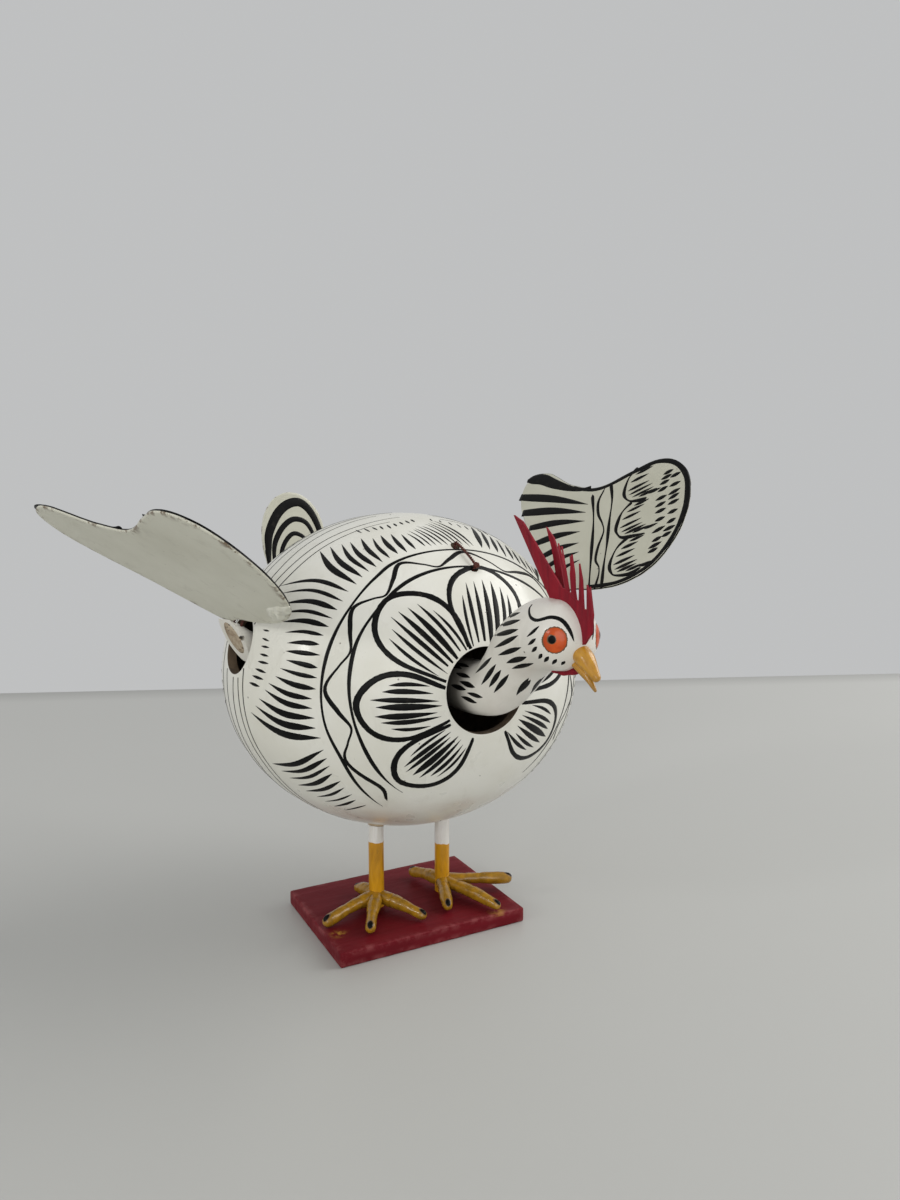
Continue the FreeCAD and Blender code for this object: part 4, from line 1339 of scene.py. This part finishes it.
def make_blade(name, blade, outline, hub, materials, body):
    """A blade with rounded edges: its painted face, its plain face and the rim between."""
    count = 220
    rim = closed_line(outline, count)
    hub = np.asarray(hub)
    chips = np.array([0.10 * math.sin(k * 0.31) + 0.07 * math.sin(k * 0.83 + 1)
                      for k in range(count)])
    inward = inward_steps(rim, np.roll(rim, -1, axis=0) - np.roll(rim, 1, axis=0), hub)
    rim = rim + inward * (np.abs(chips)[:, None] * 0.6)
    rows = []
    for inset, level in ((0.50, 0.5), (0.20, 0.42), (0.03, 0.22), (0.0, -0.05), (0.06, -0.3),
                         (0.24, -0.45), (0.60, -0.5)):
        rows.append((rim + inward * inset, level))
    reaches = (0.97, 0.93, 0.87, 0.78, 0.64, 0.45, 0.22)
    top = [(hub + (rim + inward * 0.5 - hub) * reach, 0.5) for reach in reaches]
    low = [(hub + (rim + inward * 0.6 - hub) * reach, -0.5) for reach in reaches]
    rows = list(reversed(top)) + rows + low
    points, edge = [], []
    for spots, level in rows:
        for k, (a, b) in enumerate(spots):
            points.append(blade.point(a, b, level))
            edge.append(max(0.0, 1.0 - np.linalg.norm(rim[k] - (a, b)) / 2.6))
    points += [blade.point(hub[0], hub[1], 0.5), blade.point(hub[0], hub[1], -0.5)]
    edge += [0.0, 0.0]
    faces, slots = [], []
    for row in range(len(rows) - 1):
        kind = 0 if row < 8 else (2 if row < 10 else 1)
        for k in range(count):
            after = (k + 1) % count
            base = row * count
            faces.append((base + k, base + after, base + count + after, base + count + k))
            slots.append(kind)
    for hub_point, row, kind in ((len(points) - 2, 0, 0), (len(points) - 1, len(rows) - 1, 1)):
        for k in range(count):
            faces.append((hub_point, row * count + (k + 1) % count, row * count + k))
            slots.append(kind)
    piece = new_piece(name, points, faces, materials, body, [name.replace("_painted", "")],
                      slots)
    mark = piece.data.attributes.new("edge", "FLOAT", "POINT")
    mark.data.foreach_set("value", edge)
    face_outward(piece)


# Black brushwork on a wing's painted face, as (outward, backward) in millimetres: stripes from
# end to end, long lines and rows of dashes, with widths, and for dashes a number and a length.
WING_STRIPES = [
    ((61.5, 8.0), (37.5, -22.6), 2.3), ((52.4, 7.7), (34.3, -21.1), 2.3),
    ((42.5, 5.2), (30.5, -20.1), 2.0), ((33.1, 3.2), (26.9, -17.3), 2.0),
    ((25.0, 1.2), (22.0, -16.1), 1.8), ((19.0, -0.4), (17.9, -15.5), 1.5),
    ((12.8, -1.6), (14.1, -15.4), 1.3),
]
WING_LINES = [
    ([(40.9, -25.2), (28.7, -23.8), (14.8, -20.7), (0.8, -17.4), (-1.0, -17.0)], 1.25),
    ([(40.4, -30.8), (36.0, -27.2), (30.2, -26.2), (25.0, -27.1), (20.8, -27.0), (15.6, -23.8),
      (10.4, -21.8), (6.5, -22.6), (2.9, -21.8), (-1.8, -19.2)], 1.05),
    ([(41.2, -33.7), (33.1, -32.8), (23.6, -29.9), (14.7, -27.5), (6.0, -24.6), (-3.2, -22.0)], 1.2),
    ([(41.0, -45.8), (40.2, -43.4), (38.1, -40.7), (33.6, -38.2), (30.6, -38.2), (28.0, -39.8),
      (26.3, -43.0), (25.4, -46.4)], 1.25),
    ([(27.1, -40.6), (25.6, -36.8), (23.4, -34.4), (19.1, -32.1), (16.0, -32.4), (13.8, -34.0),
      (12.0, -38.4), (10.6, -42.8)], 1.35),
    ([(12.8, -36.6), (11.2, -32.0), (8.7, -29.2), (4.8, -26.9), (1.6, -27.0), (-0.5, -28.4),
      (-2.7, -33.4), (-2.6, -38.6)], 1.25),
]
WING_LOBES = WING_LINES[3:]
WING_DASH_ROWS = [
    ([(31.5, -56.5), (27.5, -54.0), (20.9, -51.2), (14.9, -49.8), (6.0, -46.8), (1.8, -44.2)],
     12, 4.9),
    ([(28.6, -58.8), (21.5, -56.8), (17.5, -55.6), (9.9, -53.2), (5.4, -50.4)], 9, 4.6),
]
WING_CORNER = [((68.0, 3.6), 1.6), ((66.6, 0.6), 4.6), ((63.6, -4.0), 5.6), ((58.6, -8.2), 5.0),
               ((54.2, -12.2), 3.9), ((50.0, -16.4), 2.7), ((46.3, -21.2), 1.7), ((45.0, -25.2), 1.2)]


def inset_line(outline, hub, inset, start, end, count):
    """Part of a blade's outline, from one turn about its hub to another, moved inwards."""
    rim = closed_line(outline, 400)
    turns = np.degrees(np.arctan2(rim[:, 1] - hub[1], rim[:, 0] - hub[0]))
    sweep = (start - turns) % 360
    order = np.argsort(sweep)
    order = order[sweep[order] <= (start - end) % 360]
    kept = rim[order]
    kept = kept + inward_steps(kept, np.gradient(kept, axis=0), hub) * inset
    picks = np.linspace(0, len(kept) - 1, count).astype(int)
    return kept[picks]


def draw_wing_stripes(paint, blade):
    for start, end, width in WING_STRIPES:
        bend = ((start[0] + end[0]) / 2 + 0.9, (start[1] + end[1]) / 2)
        paint.stroke(blade.lay([start, bend, end], 26), tapered(26, width * 1.75 * MM, 0.28, 0.8))


def draw_wing_lines(paint, blade):
    count = 46
    for line, width in WING_LINES:
        swell = [width * 1.3 * MM * (0.78 + 0.30 * math.sin(k * 0.33 + width * 11))
                 for k in range(count)]
        swell[0] = swell[-1] = 0.25 * MM
        paint.stroke(blade.lay(line, count), swell)


def draw_wing_lobes(paint, blade):
    """Short strokes that fill each scallop, longest in its middle."""
    for line, _ in WING_LOBES:
        for k, (a, b) in enumerate(smooth_line(line, 10)[1:-1]):
            part = (k + 0.5) / 8
            a = a - 2.2 * (0.5 - part)
            drop = -1.5 - 2.6 * abs(2 * part - 1) ** 3
            length = (5.0 + 4.6 * math.sin(math.pi * part)) * rng.uniform(0.88, 1.1)
            ends = [(a, b + drop), (a - 0.6, b + drop - length)]
            paint.stroke(blade.lay(ends, 12), tapered(12, rng.uniform(1.3, 1.7) * MM, 0.4))


def draw_wing_dashes(paint, blade):
    for line, number, length in WING_DASH_ROWS:
        for a, b in smooth_line(line, number):
            half = length * rng.uniform(0.85, 1.15) / 2
            ends = [(a, b + half), (a + rng.uniform(-0.4, 0.4), b - half)]
            paint.stroke(blade.lay(ends, 9), tapered(9, 1.9 * MM))


def draw_wing_rim(paint, blade):
    """The line along the wing's edge, and the dark corner where it starts."""
    count = 150
    rim = inset_line(WING_OUTLINE, WING_HUB, 1.15, 8.0, 163.0, count)
    widths = [(1.85 + 0.30 * math.sin(k * 0.05 + 4.6) + 0.08 * math.sin(k * 0.5)) * MM
              for k in range(count)]
    widths[0] = widths[-1] = 0.3 * MM
    paint.stroke(blade.lay(rim, count), widths)
    corner = smooth_line([(a, b, width) for (a, b), width in WING_CORNER], 40)
    paint.stroke([blade.point(a, b) for a, b, _ in corner], [w * MM for _, _, w in corner])


def paint_wing(blade, ink, body, name):
    paint = Paint(blade.face, 0.10 * MM)
    draw_wing_stripes(paint, blade)
    draw_wing_lines(paint, blade)
    draw_wing_lobes(paint, blade)
    draw_wing_dashes(paint, blade)
    draw_wing_rim(paint, blade)
    paint.piece(name, ink, body, "wing_enamel")


# The tail's three nested arches, from the outermost in: their lines and widths.
TAIL_ARCHES = [
    ([(-12.6, 20.0), (-12.3, 27.0), (-11.2, 33.2), (-6.8, 40.6), (-1.4, 44.6), (4.2, 45.0),
      (8.8, 40.6), (11.8, 33.0), (12.2, 26.0), (11.0, 19.0)], 4.4),
    ([(-10.2, 17.0), (-10.0, 25.4), (-8.4, 30.6), (-4.4, 35.8), (0.5, 38.4), (5.8, 36.8),
      (8.8, 31.0), (9.6, 24.0), (8.6, 16.0)], 2.7),
    ([(-7.4, 15.0), (-7.0, 24.0), (-4.3, 29.6), (-0.1, 32.6), (4.7, 30.2), (6.6, 24.4),
      (6.2, 15.0)], 2.2),
]


def paint_tail(blade, ink):
    """Three arches, and short upright strokes that fill the innermost."""
    paint = Paint(blade.face, 0.10 * MM)
    for line, width in TAIL_ARCHES:
        paint.stroke(blade.lay(line, 60), tapered(60, width * MM, 0.30, 0.3, 0.3))
    for k in range(6):
        a = -4.9 + k * 1.95
        top = 28.6 - 0.42 * abs(a) ** 1.5
        paint.stroke(blade.lay([(a, top), (a * 0.8, 8.0)], 16), tapered(16, 1.75 * MM, 0.3))
    paint.piece("tail_brushwork", ink, "tail", "wing_enamel")


def whittled_rod(name, middle, axes, inner, reach):
    """A closed rod with faintly faceted sides, from its inner end to its outer one."""
    axis, over, sideways = axes
    work = bmesh.new()
    spokes, rings = 56, 46
    loops = []
    for ring in range(rings + 1):
        along = (-inner + (inner + reach) * ring / rings) * MM
        loop = []
        for k in range(spokes):
            turn = 2 * math.pi * k / spokes
            facet = 1.0 - 0.022 * (0.5 + 0.5 * math.cos(7 * turn + ring * 0.04))
            end = min(1.0, 0.93 + ring * 0.035)
            step = over * math.cos(turn) + sideways * math.sin(turn)
            loop.append(work.verts.new(middle + axis * along + step * (PEG_RADIUS * facet * end)))
        loops.append(loop)
    for lower, upper in zip(loops, loops[1:]):
        for k in range(spokes):
            after = (k + 1) % spokes
            work.faces.new((lower[k], lower[after], upper[after], upper[k]))
    work.faces.new(list(reversed(loops[0])))
    work.faces.new(loops[-1])
    return mesh_object(name, work)


def blade_seat(blade, body):
    """What is cut from a peg to seat its blade: behind the tail fan, or above a wing's root."""
    half = BLADE_THICK / 2
    if body == "tail":
        return half_space("seat", blade.root - blade.normal * half, -blade.normal)
    return half_space("seat", blade.root - blade.normal * (half - 0.02 * MM), blade.normal,
                      blade.root + blade.first * (2.5 * MM), blade.first)


def make_peg(name, body, pivot, outward, blade, rind, core):
    """A whittled twig: white bark, tan pith on the slanted end, a seat for the blade."""
    inner, reach, tilt = PEGS[body]
    angle = math.radians(tilt)
    axis = outward * math.cos(angle) + UP * math.sin(angle)
    over = UP * math.cos(angle) - outward * math.sin(angle)
    sideways = axis.cross(over)
    middle = pivot - over * PEG_DROP + Vector(PEG_SHIFTS[body]) * MM
    slant_top = middle + axis * ((reach - PEG_CUT_BACK[body]) * MM) + over * PEG_RADIUS
    turned = PEG_CUT_TURN * (1 if sideways.y > 0 else -1)
    lean = over * math.cos(turned) + sideways * math.sin(turned)
    cut_normal = axis * math.sin(PEG_SLANT) - lean * math.cos(PEG_SLANT)
    peg = whittled_rod(name + "_whittled", middle, (axis, over, sideways), inner, reach)
    tools = [half_space("slant", slant_top, cut_normal), blade_seat(blade, body)]
    tools.append(drill("eye", pivot - sideways * (8 * MM), sideways, 0.8 * MM, 16 * MM))
    carve(peg, tools)
    mesh = peg.data
    mesh.materials.clear()
    mesh.materials.append(rind)
    mesh.polygons.foreach_set("use_smooth", [True] * len(mesh.polygons))
    settle(peg, body, [name])
    sharpen(peg, 30)
    centre = middle + axis * ((slant_top - middle).dot(cut_normal) / axis.dot(cut_normal))
    long_axis = (axis - cut_normal * axis.dot(cut_normal)).normalized()
    short_axis = cut_normal.cross(long_axis)
    pith = Paint(lambda p: (p - cut_normal * (p - centre).dot(cut_normal), cut_normal), 0.2 * MM)
    half = PEG_RADIUS * 0.70
    pith.disc(centre, long_axis * (half / math.sin(PEG_SLANT)), short_axis * half)
    pith.piece(name + "_pith", core, body, "peg_wood")


def half_space(name, face_point, way, edge_point=None, edge_way=None):
    """A large block on one side of a plane, and if asked on one side of a second plane."""
    work = bmesh.new()
    bmesh.ops.create_cube(work, size=1.0)
    span = 70 * MM
    second = edge_way if edge_way is not None else way.orthogonal().normalized()
    second = (second - way * second.dot(way)).normalized()
    third = way.cross(second)
    centre = face_point + way * (span / 2)
    if edge_point is not None:
        centre += second * ((edge_point - face_point).dot(second) + span / 2)
    axes = Matrix((way, second, third)).transposed().to_4x4()
    place = Matrix.Translation(centre) @ axes @ Matrix.Scale(span, 4)
    bmesh.ops.transform(work, matrix=place, verts=work.verts)
    return mesh_object(name, work)


GLUE_MIDDLE = (-1.9, -37.5)
GLUE_REACH = (2.5, 8.5)


def glue_place(part, turn):
    """Where the shoulder glue lies on its blade, from its middle (0) to its wavy edge (1)."""
    edge = 1.0 + 0.16 * math.sin(3 * turn + 1) + 0.09 * math.sin(7 * turn)
    return (GLUE_MIDDLE[0] + GLUE_REACH[0] * part * edge * math.cos(turn),
            GLUE_MIDDLE[1] + GLUE_REACH[1] * part * edge * math.sin(turn))


def make_shoulder_glue(material, blade):
    """Crumpled white glue on the right wing's underside, at its front corner."""
    points, faces = [], []
    rings, spokes = 12, 44
    turns = [2 * math.pi * k / spokes for k in range(spokes)]
    for ring in range(rings + 1):
        part = ring / rings
        for turn in turns:
            a, b = glue_place(part, turn)
            crumple = 0.55 + 0.25 * math.sin(a * 2.1 + b) + 0.2 * math.sin(b * 2.9 - a * 1.3)
            drop = (1 - part ** 3) * crumple
            points.append(blade.point(a, b, -0.5) - blade.normal * (drop * MM))
    base = len(points)
    points += [blade.point(*glue_place(1.0, turn), -0.25) for turn in turns]
    for ring in range(rings + 1):
        inner, outer = ring * spokes, (ring + 1) * spokes
        for k in range(spokes):
            after = (k + 1) % spokes
            faces.append((inner + k, inner + after, outer + after, outer + k))
    faces.append(list(range(spokes)))
    faces.append([base + k for k in reversed(range(spokes))])
    piece = new_piece("right_shoulder_glue", points, faces, [material], "right_wing")
    face_outward(piece)


# ---------------------------------------------------------------- the head

# The middle line of the neck and skull, from the inner end to the face, with its radii.
HEAD_LINE = [(0.0, -25.0, 88.0), (0.0, -45.0, 88.6), (0.0, -62.5, 90.6), (0.0, -72.0, 97.0),
             (0.0, -80.5, 105.2), (0.0, -89.0, 109.7), (0.0, -96.5, 110.7)]
HEAD_RADII = [8.0, 8.0, 8.0, 8.4, 9.15, 9.4, 9.05]
EYE_CENTRE = Vector((-6.7, -103.2, 110.95)) * MM


def make_head(material):
    """Neck and skull in one bent, faintly lumpy form with rounded ends."""
    steps = 90
    centres = vectors(smooth_line(np.array(HEAD_LINE) * MM, steps))
    marks = np.linspace(0, len(HEAD_RADII) - 1, steps)
    radii = [float(np.interp(m, range(len(HEAD_RADII)), HEAD_RADII)) * MM for m in marks]
    ahead = (centres[-1] - centres[-4]).normalized()
    last = radii[-1]
    tip = centres[-1]
    for k in range(1, 15):
        angle = math.pi / 2 * k / 14.4
        centres.append(tip + ahead * (last * 1.04 * math.sin(angle)))
        radii.append(last * math.cos(angle))
    first = []
    for k in range(1, 10):
        angle = math.pi / 2 * (10 - k) / 10.2
        first.append((centres[0] + Vector((0, 2.2 * MM * math.sin(angle), 0)),
                      radii[0] * (0.72 + 0.28 * math.cos(angle))))
    centres = [c for c, _ in first] + centres
    radii = [r for _, r in first] + radii

    def lumps(k, turn):
        return (1.0 + 0.012 * math.sin(3 * turn + k * 0.09) + 0.008 * math.sin(2 * turn - k * 0.16)
                + 0.005 * math.sin(7 * turn + k * 0.31))

    hint = Vector((1, 0, 0))
    points, faces = swept_tube(centres, radii, 96, frames_along(centres, hint), lumps)
    head = new_piece("head_carved", points, faces, [material], "head", ["head"])
    face_outward(head)
    return head


class Sight:
    """Finds where a spot seen from the camera's side lies on the head, on either side of it.
    A spot is given in millimetres to the right of and above the middle of the eye."""

    def __init__(self, head, side):
        self.side = side
        self.tree = tree_of(head)

    def flip(self, point):
        return Vector((-point.x, point.y, point.z)) if self.side == LEFT else point

    def point(self, right, up):
        start = EYE_CENTRE + VIEW_RIGHT * (right * MM) + VIEW_UP * (up * MM)
        start = self.flip(start - VIEW_AHEAD * (60 * MM))
        hit = self.tree.ray_cast(start, self.flip(Vector(VIEW_AHEAD)))[0]
        return hit if hit is not None else self.tree.find_nearest(start)[0]


# The brow line, and the dashes round the eye and down the neck, as a Sight's spots.
BROW = [(4.6, -0.3), (4.0, 1.4), (3.1, 3.2), (2.0, 4.6), (0.7, 5.3), (-0.9, 5.5), (-2.4, 5.1),
        (-3.9, 4.7), (-5.0, 5.2), (-5.4, 6.3), (-5.2, 7.6), (-4.5, 8.5)]
EYE_DASHES = [
    ((-3.4, 3.4), (-6.2, 0.5)), ((-4.2, 0.3), (-5.9, -1.5)), ((-3.9, -1.7), (-5.0, -3.2)),
    ((-2.7, -3.4), (-3.4, -4.8)), ((-1.2, -4.0), (-2.1, -5.6)), ((0.7, -4.6), (-0.2, -6.1)),
    ((2.7, -5.1), (2.0, -6.2)),
]
NECK_DASHES = [
    ((-7.3, 6.5), (-11.7, 4.6)), ((-7.4, 4.7), (-13.2, 2.6)), ((-8.0, 2.3), (-13.7, 0.2)),
    ((-8.0, 0.8), (-13.5, -2.9)), ((-7.3, -2.2), (-12.6, -4.8)), ((-5.9, -4.6), (-10.5, -6.7)),
    ((-4.2, -6.2), (-9.1, -8.2)), ((-15.0, -3.0), (-18.7, -8.4)), ((-14.1, -5.5), (-18.1, -10.7)),
    ((-13.0, -7.3), (-16.6, -13.5)), ((-11.7, -8.7), (-14.6, -14.0)),
    ((-9.7, -9.8), (-13.3, -15.5)), ((-4.6, -10.7), (-7.3, -16.0)), ((-4.0, -11.2), (-6.2, -14.9)),
    ((-16.1, -17.1), (-20.4, -16.5)), ((-18.2, -14.5), (-22.4, -13.7)),
    ((-19.5, -12.2), (-23.5, -11.6)), ((-19.6, -9.6), (-23.6, -9.0)),
    ((-19.1, -6.2), (-22.6, -5.2)), ((-21.7, -10.3), (-26.0, -9.3)),
    ((-20.6, -15.7), (-25.0, -15.1)), ((-17.6, -19.0), (-22.0, -17.9)),
]


# Each layer of an eye: its paint, how proud it stands, its middle and its two half sizes.
EYE_PARTS = [
    ("rim", "brown", 0.08, 0.1, 0.0, 3.42, 3.78),
    ("orange", "orange", 0.16, 0.1, 0.0, 3.20, 3.56),
    ("pupil_edge", "brown", 0.22, -0.6, 0.15, 1.60, 1.72),
    ("pupil", "ink", 0.28, -0.6, 0.15, 1.25, 1.40),
]


def paint_head(head, paints):
    surface = mesh_surface(head)
    ink = paints["ink"]
    for word, side in (("right", RIGHT), ("left", LEFT)):
        sight = Sight(head, side)
        strokes = Paint(surface, 0.10 * MM)
        brow = [sight.point(x, y) for x, y in smooth_line(BROW, 40)]
        strokes.stroke(brow, tapered(40, 1.25 * MM, 0.22, 0.10, 0.42))
        for number, (start, end) in enumerate(EYE_DASHES + NECK_DASHES):
            line = [sight.point(x, y) for x, y in smooth_line([start, end], 12)]
            width = 1.1 if number < len(EYE_DASHES) else rng.uniform(1.5, 1.9)
            strokes.stroke(line, tapered(12, width * MM, 0.45))
        strokes.piece(f"{word}_head_brushwork", ink, "head", "head_enamel")
        for label, material, proud, right, up, wide, high in EYE_PARTS:
            paint = Paint(surface, proud * MM)
            paint.patch(lambda u, v: sight.point(right + u * wide, up + v * high))
            paint.piece(f"{word}_eye_{label}", paints[material], "head", "head_enamel")


# The comb's two leaves seen from the side: forward along the skull, then up, in millimetres.
# Each starts at the front of its root and ends with the long strip that leans back.
COMB_LEAVES = {
    "right": (3.0, [
        (105.3, 109.8), (108.2, 112.6), (108.9, 116.2), (108.4, 122.9), (107.6, 124.6),
        (106.9, 118.4), (105.7, 118.6), (105.3, 125.4), (104.5, 129.4), (104.1, 125.4),
        (104.0, 120.2), (102.7, 120.6), (102.3, 126.6), (101.1, 131.3), (100.9, 126.6),
        (101.1, 121.6), (99.6, 122.2), (98.6, 128.0), (96.0, 133.8), (97.0, 128.2),
        (98.4, 122.6), (96.9, 122.8), (80.6, 138.6), (75.8, 140.2), (93.2, 117.4), (96.0, 112.0)]),
    "left": (8.0, [
        (105.3, 109.8), (107.6, 113.0), (107.0, 117.4), (104.4, 123.8), (104.9, 117.6),
        (103.0, 118.4), (99.2, 128.0), (101.8, 119.0), (99.7, 119.8), (94.6, 130.6),
        (98.5, 120.2), (96.8, 121.0), (90.6, 132.8), (95.8, 121.4), (94.6, 121.8),
        (89.8, 130.2), (86.4, 134.8), (83.2, 137.4), (86.6, 132.0), (92.0, 121.0),
        (93.0, 117.4), (96.0, 112.0)]),
}

# The height that the leaves lean from, their thickness and their shift towards the beak.
COMB_FOOT = 112.0 * MM
COMB_THICK = 0.5
COMB_AHEAD = 0.8


def make_comb(material):
    """Two thin fringed leaves on the crown, one leaning to each side."""
    for word, side in (("right", RIGHT), ("left", LEFT)):
        lean, outline = COMB_LEAVES[word]
        splay = math.radians(lean) * side
        work = bmesh.new()
        loops = []
        for level in (0.0, COMB_THICK):
            loop = []
            for forward, height in outline:
                rise = height * MM - COMB_FOOT
                wave = 0.45 * math.sin(forward * 0.9 + height * 0.35 + side)
                out = side * (0.15 + level + wave * max(0.0, rise / (26 * MM))) * MM
                spot = Vector((out * math.cos(splay) + rise * math.sin(splay),
                               -(forward + COMB_AHEAD) * MM,
                               COMB_FOOT + rise * math.cos(splay) - out * math.sin(splay)))
                loop.append(work.verts.new(spot))
            work.faces.new(loop)
            loops.append(loop)
        for k in range(len(outline)):
            after = (k + 1) % len(outline)
            work.faces.new((loops[0][k], loops[0][after], loops[1][after], loops[1][k]))
        bmesh.ops.recalc_face_normals(work, faces=work.faces)
        leaf = mesh_object(f"comb_{word}_fringe", work)
        leaf.data.materials.append(material)
        settle(leaf, "head", [f"comb_{word}_leaf"])


def make_beak_half(name, node, line, radii, material):
    """One half of the beak: a tapering curved horn with a rounded tip."""
    steps = 28
    centres = vectors(smooth_line(np.array(line) * MM, steps))
    sizes = [float(np.interp(k / (steps - 1), np.linspace(0, 1, len(radii)), radii)) * MM
             for k in range(steps)]
    ahead = (centres[-1] - centres[-3]).normalized()
    tip, last = centres[-1], sizes[-1]
    for angle in (0.5, 0.9, 1.2, 1.45):
        centres.append(tip + ahead * (last * math.sin(angle)))
        sizes.append(last * math.cos(angle))
    pairs = frames_along(centres, Vector((1, 0, 0)))
    points, faces = swept_tube(centres, sizes, 32, pairs,
                               lambda k, turn: 1.0 + 0.02 * math.sin(4 * turn + k * 0.4))
    piece = new_piece(name, points, faces, [material], "head", [node])
    face_outward(piece)


def make_wattle(material):
    """A thin ragged strip under the beak and throat."""
    low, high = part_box("wattle")
    steps = 26
    points, faces = [], []
    for k in range(steps):
        part = k / (steps - 1)
        y = high.y + (low.y - high.y) * part
        bottom = (100.9 - 0.5 * math.sin(part * 3.0) + 1.9 * part ** 2.5) * MM
        bottom += 0.10 * math.sin(part * 21) * MM
        top = bottom + (0.5 + 2.2 * math.sin(math.pi * min(1.0, part * 1.1))) * MM
        half = 0.34 * MM
        sway = 0.12 * math.sin(part * 9) * MM
        points += [Vector((sway - half, y, top)), Vector((sway + half, y, top)),
                   Vector((sway + half * 0.6, y, bottom)), Vector((sway - half * 0.6, y, bottom))]
    for k in range(steps - 1):
        for j in range(4):
            after = (j + 1) % 4
            faces.append((k * 4 + j, k * 4 + after, k * 4 + 4 + after, k * 4 + 4 + j))
    faces += [(0, 1, 2, 3), tuple(4 * (steps - 1) + j for j in (3, 2, 1, 0))]
    piece = new_piece("wattle_strip", points, faces, [material], "head", ["wattle"])
    face_outward(piece)
    sharpen(piece, 40)


# ---------------------------------------------------------------- putting it together

def dress(node, material):
    """Gives a node carried over from the frame its material."""
    item = bpy.data.objects[node]
    item.data.materials.clear()
    item.data.materials.append(material)


def make_gourd_and_feet(ink, brown):
    make_gourd(enamel_material("shell_enamel", (0.81, 0.80, 0.735), (0.73, 0.715, 0.625), 0.040),
               shaded_raw_gourd_material())
    paint_gourd(ink)
    make_board(board_material())
    glue = glue_material()
    toe_paint = toe_material()
    for side, line in (("right", 27.8 * MM), ("left", 22.6 * MM)):
        dress(f"{side}_leg", leg_material(f"{side}_leg_enamel", line))
        make_leg_glue(side, glue)
        for toe, tip in TOE_TIPS[side].items():
            make_toe(side, toe, tip, toe_paint, ink, brown)


def make_limbs(ink):
    upper = enamel_material("wing_enamel", (0.57, 0.56, 0.465), (0.49, 0.48, 0.385))
    under = wing_under_material()
    rind = enamel_material("peg_enamel", (0.74, 0.72, 0.66), (0.60, 0.57, 0.49))
    core = peg_core_material()
    thread = thread_material()
    for word, side in (("right", RIGHT), ("left", LEFT)):
        blade = wing_blade(side)
        body = f"{word}_wing"
        make_blade(f"{word}_wing_blade_painted", blade, WING_OUTLINE, WING_HUB,
                   [upper, under, ink], body)
        paint_wing(blade, ink, body, f"{word}_wing_brushwork")
        outward = Vector((side, 0, 0))
        make_peg(f"{word}_wing_peg", body, wing_pivot(side), outward, blade, rind, core)
        make_limb_thread(f"{word}_wing_thread", wing_pivot(side), outward, thread)
    pale = enamel_material("pale_glue", (0.74, 0.73, 0.63), (0.62, 0.61, 0.50))
    make_shoulder_glue(pale, wing_blade(RIGHT))
    tail = tail_blade()
    make_blade("tail_fan_painted", tail, TAIL_OUTLINE, TAIL_HUB, [upper, under, under], "tail")
    paint_tail(tail, ink)
    make_peg("tail_peg", "tail", TAIL_PIVOT, TAIL_OUT, tail, rind, core)
    make_limb_thread("tail_thread", TAIL_PIVOT, TAIL_OUT, thread)
    make_head_threads(thread)


def make_head_parts(ink, brown):
    # The neck's enamel takes painted shade where it runs inside the gourd.
    enamel = enamel_material("head_enamel", (0.81, 0.78, 0.72), (0.71, 0.68, 0.60),
                             painted_shade_from=-60.5 * MM)
    head = make_head(enamel)
    paint_head(head, {"ink": ink, "orange": eye_material(), "brown": brown})
    red = red_card_material()
    make_comb(red)
    make_wattle(red)
    beak = beak_material()
    make_beak_half("upper_beak_horn", "upper_beak",
                   [(0, -101.5, 108.8), (0, -106.8, 106.1), (0, -110.8, 102.6)],
                   (2.55, 2.3, 1.15), beak)
    make_beak_half("lower_beak_horn", "lower_beak",
                   [(0, -101.5, 105.4), (0, -107.0, 102.5), (0, -110.6, 99.4)],
                   (1.5, 1.15, 0.4), beak)
    dress("neck_staple", wire_material())
    clay = clay_material()
    for node in ("head_weight", "right_wing_weight", "left_wing_weight", "tail_weight"):
        dress(node, clay)


def main():
    make_camera()
    make_stage()
    ink = ink_material()
    brown = brown_material()
    make_gourd_and_feet(ink, brown)
    make_head_parts(ink, brown)
    make_limbs(ink)


main()
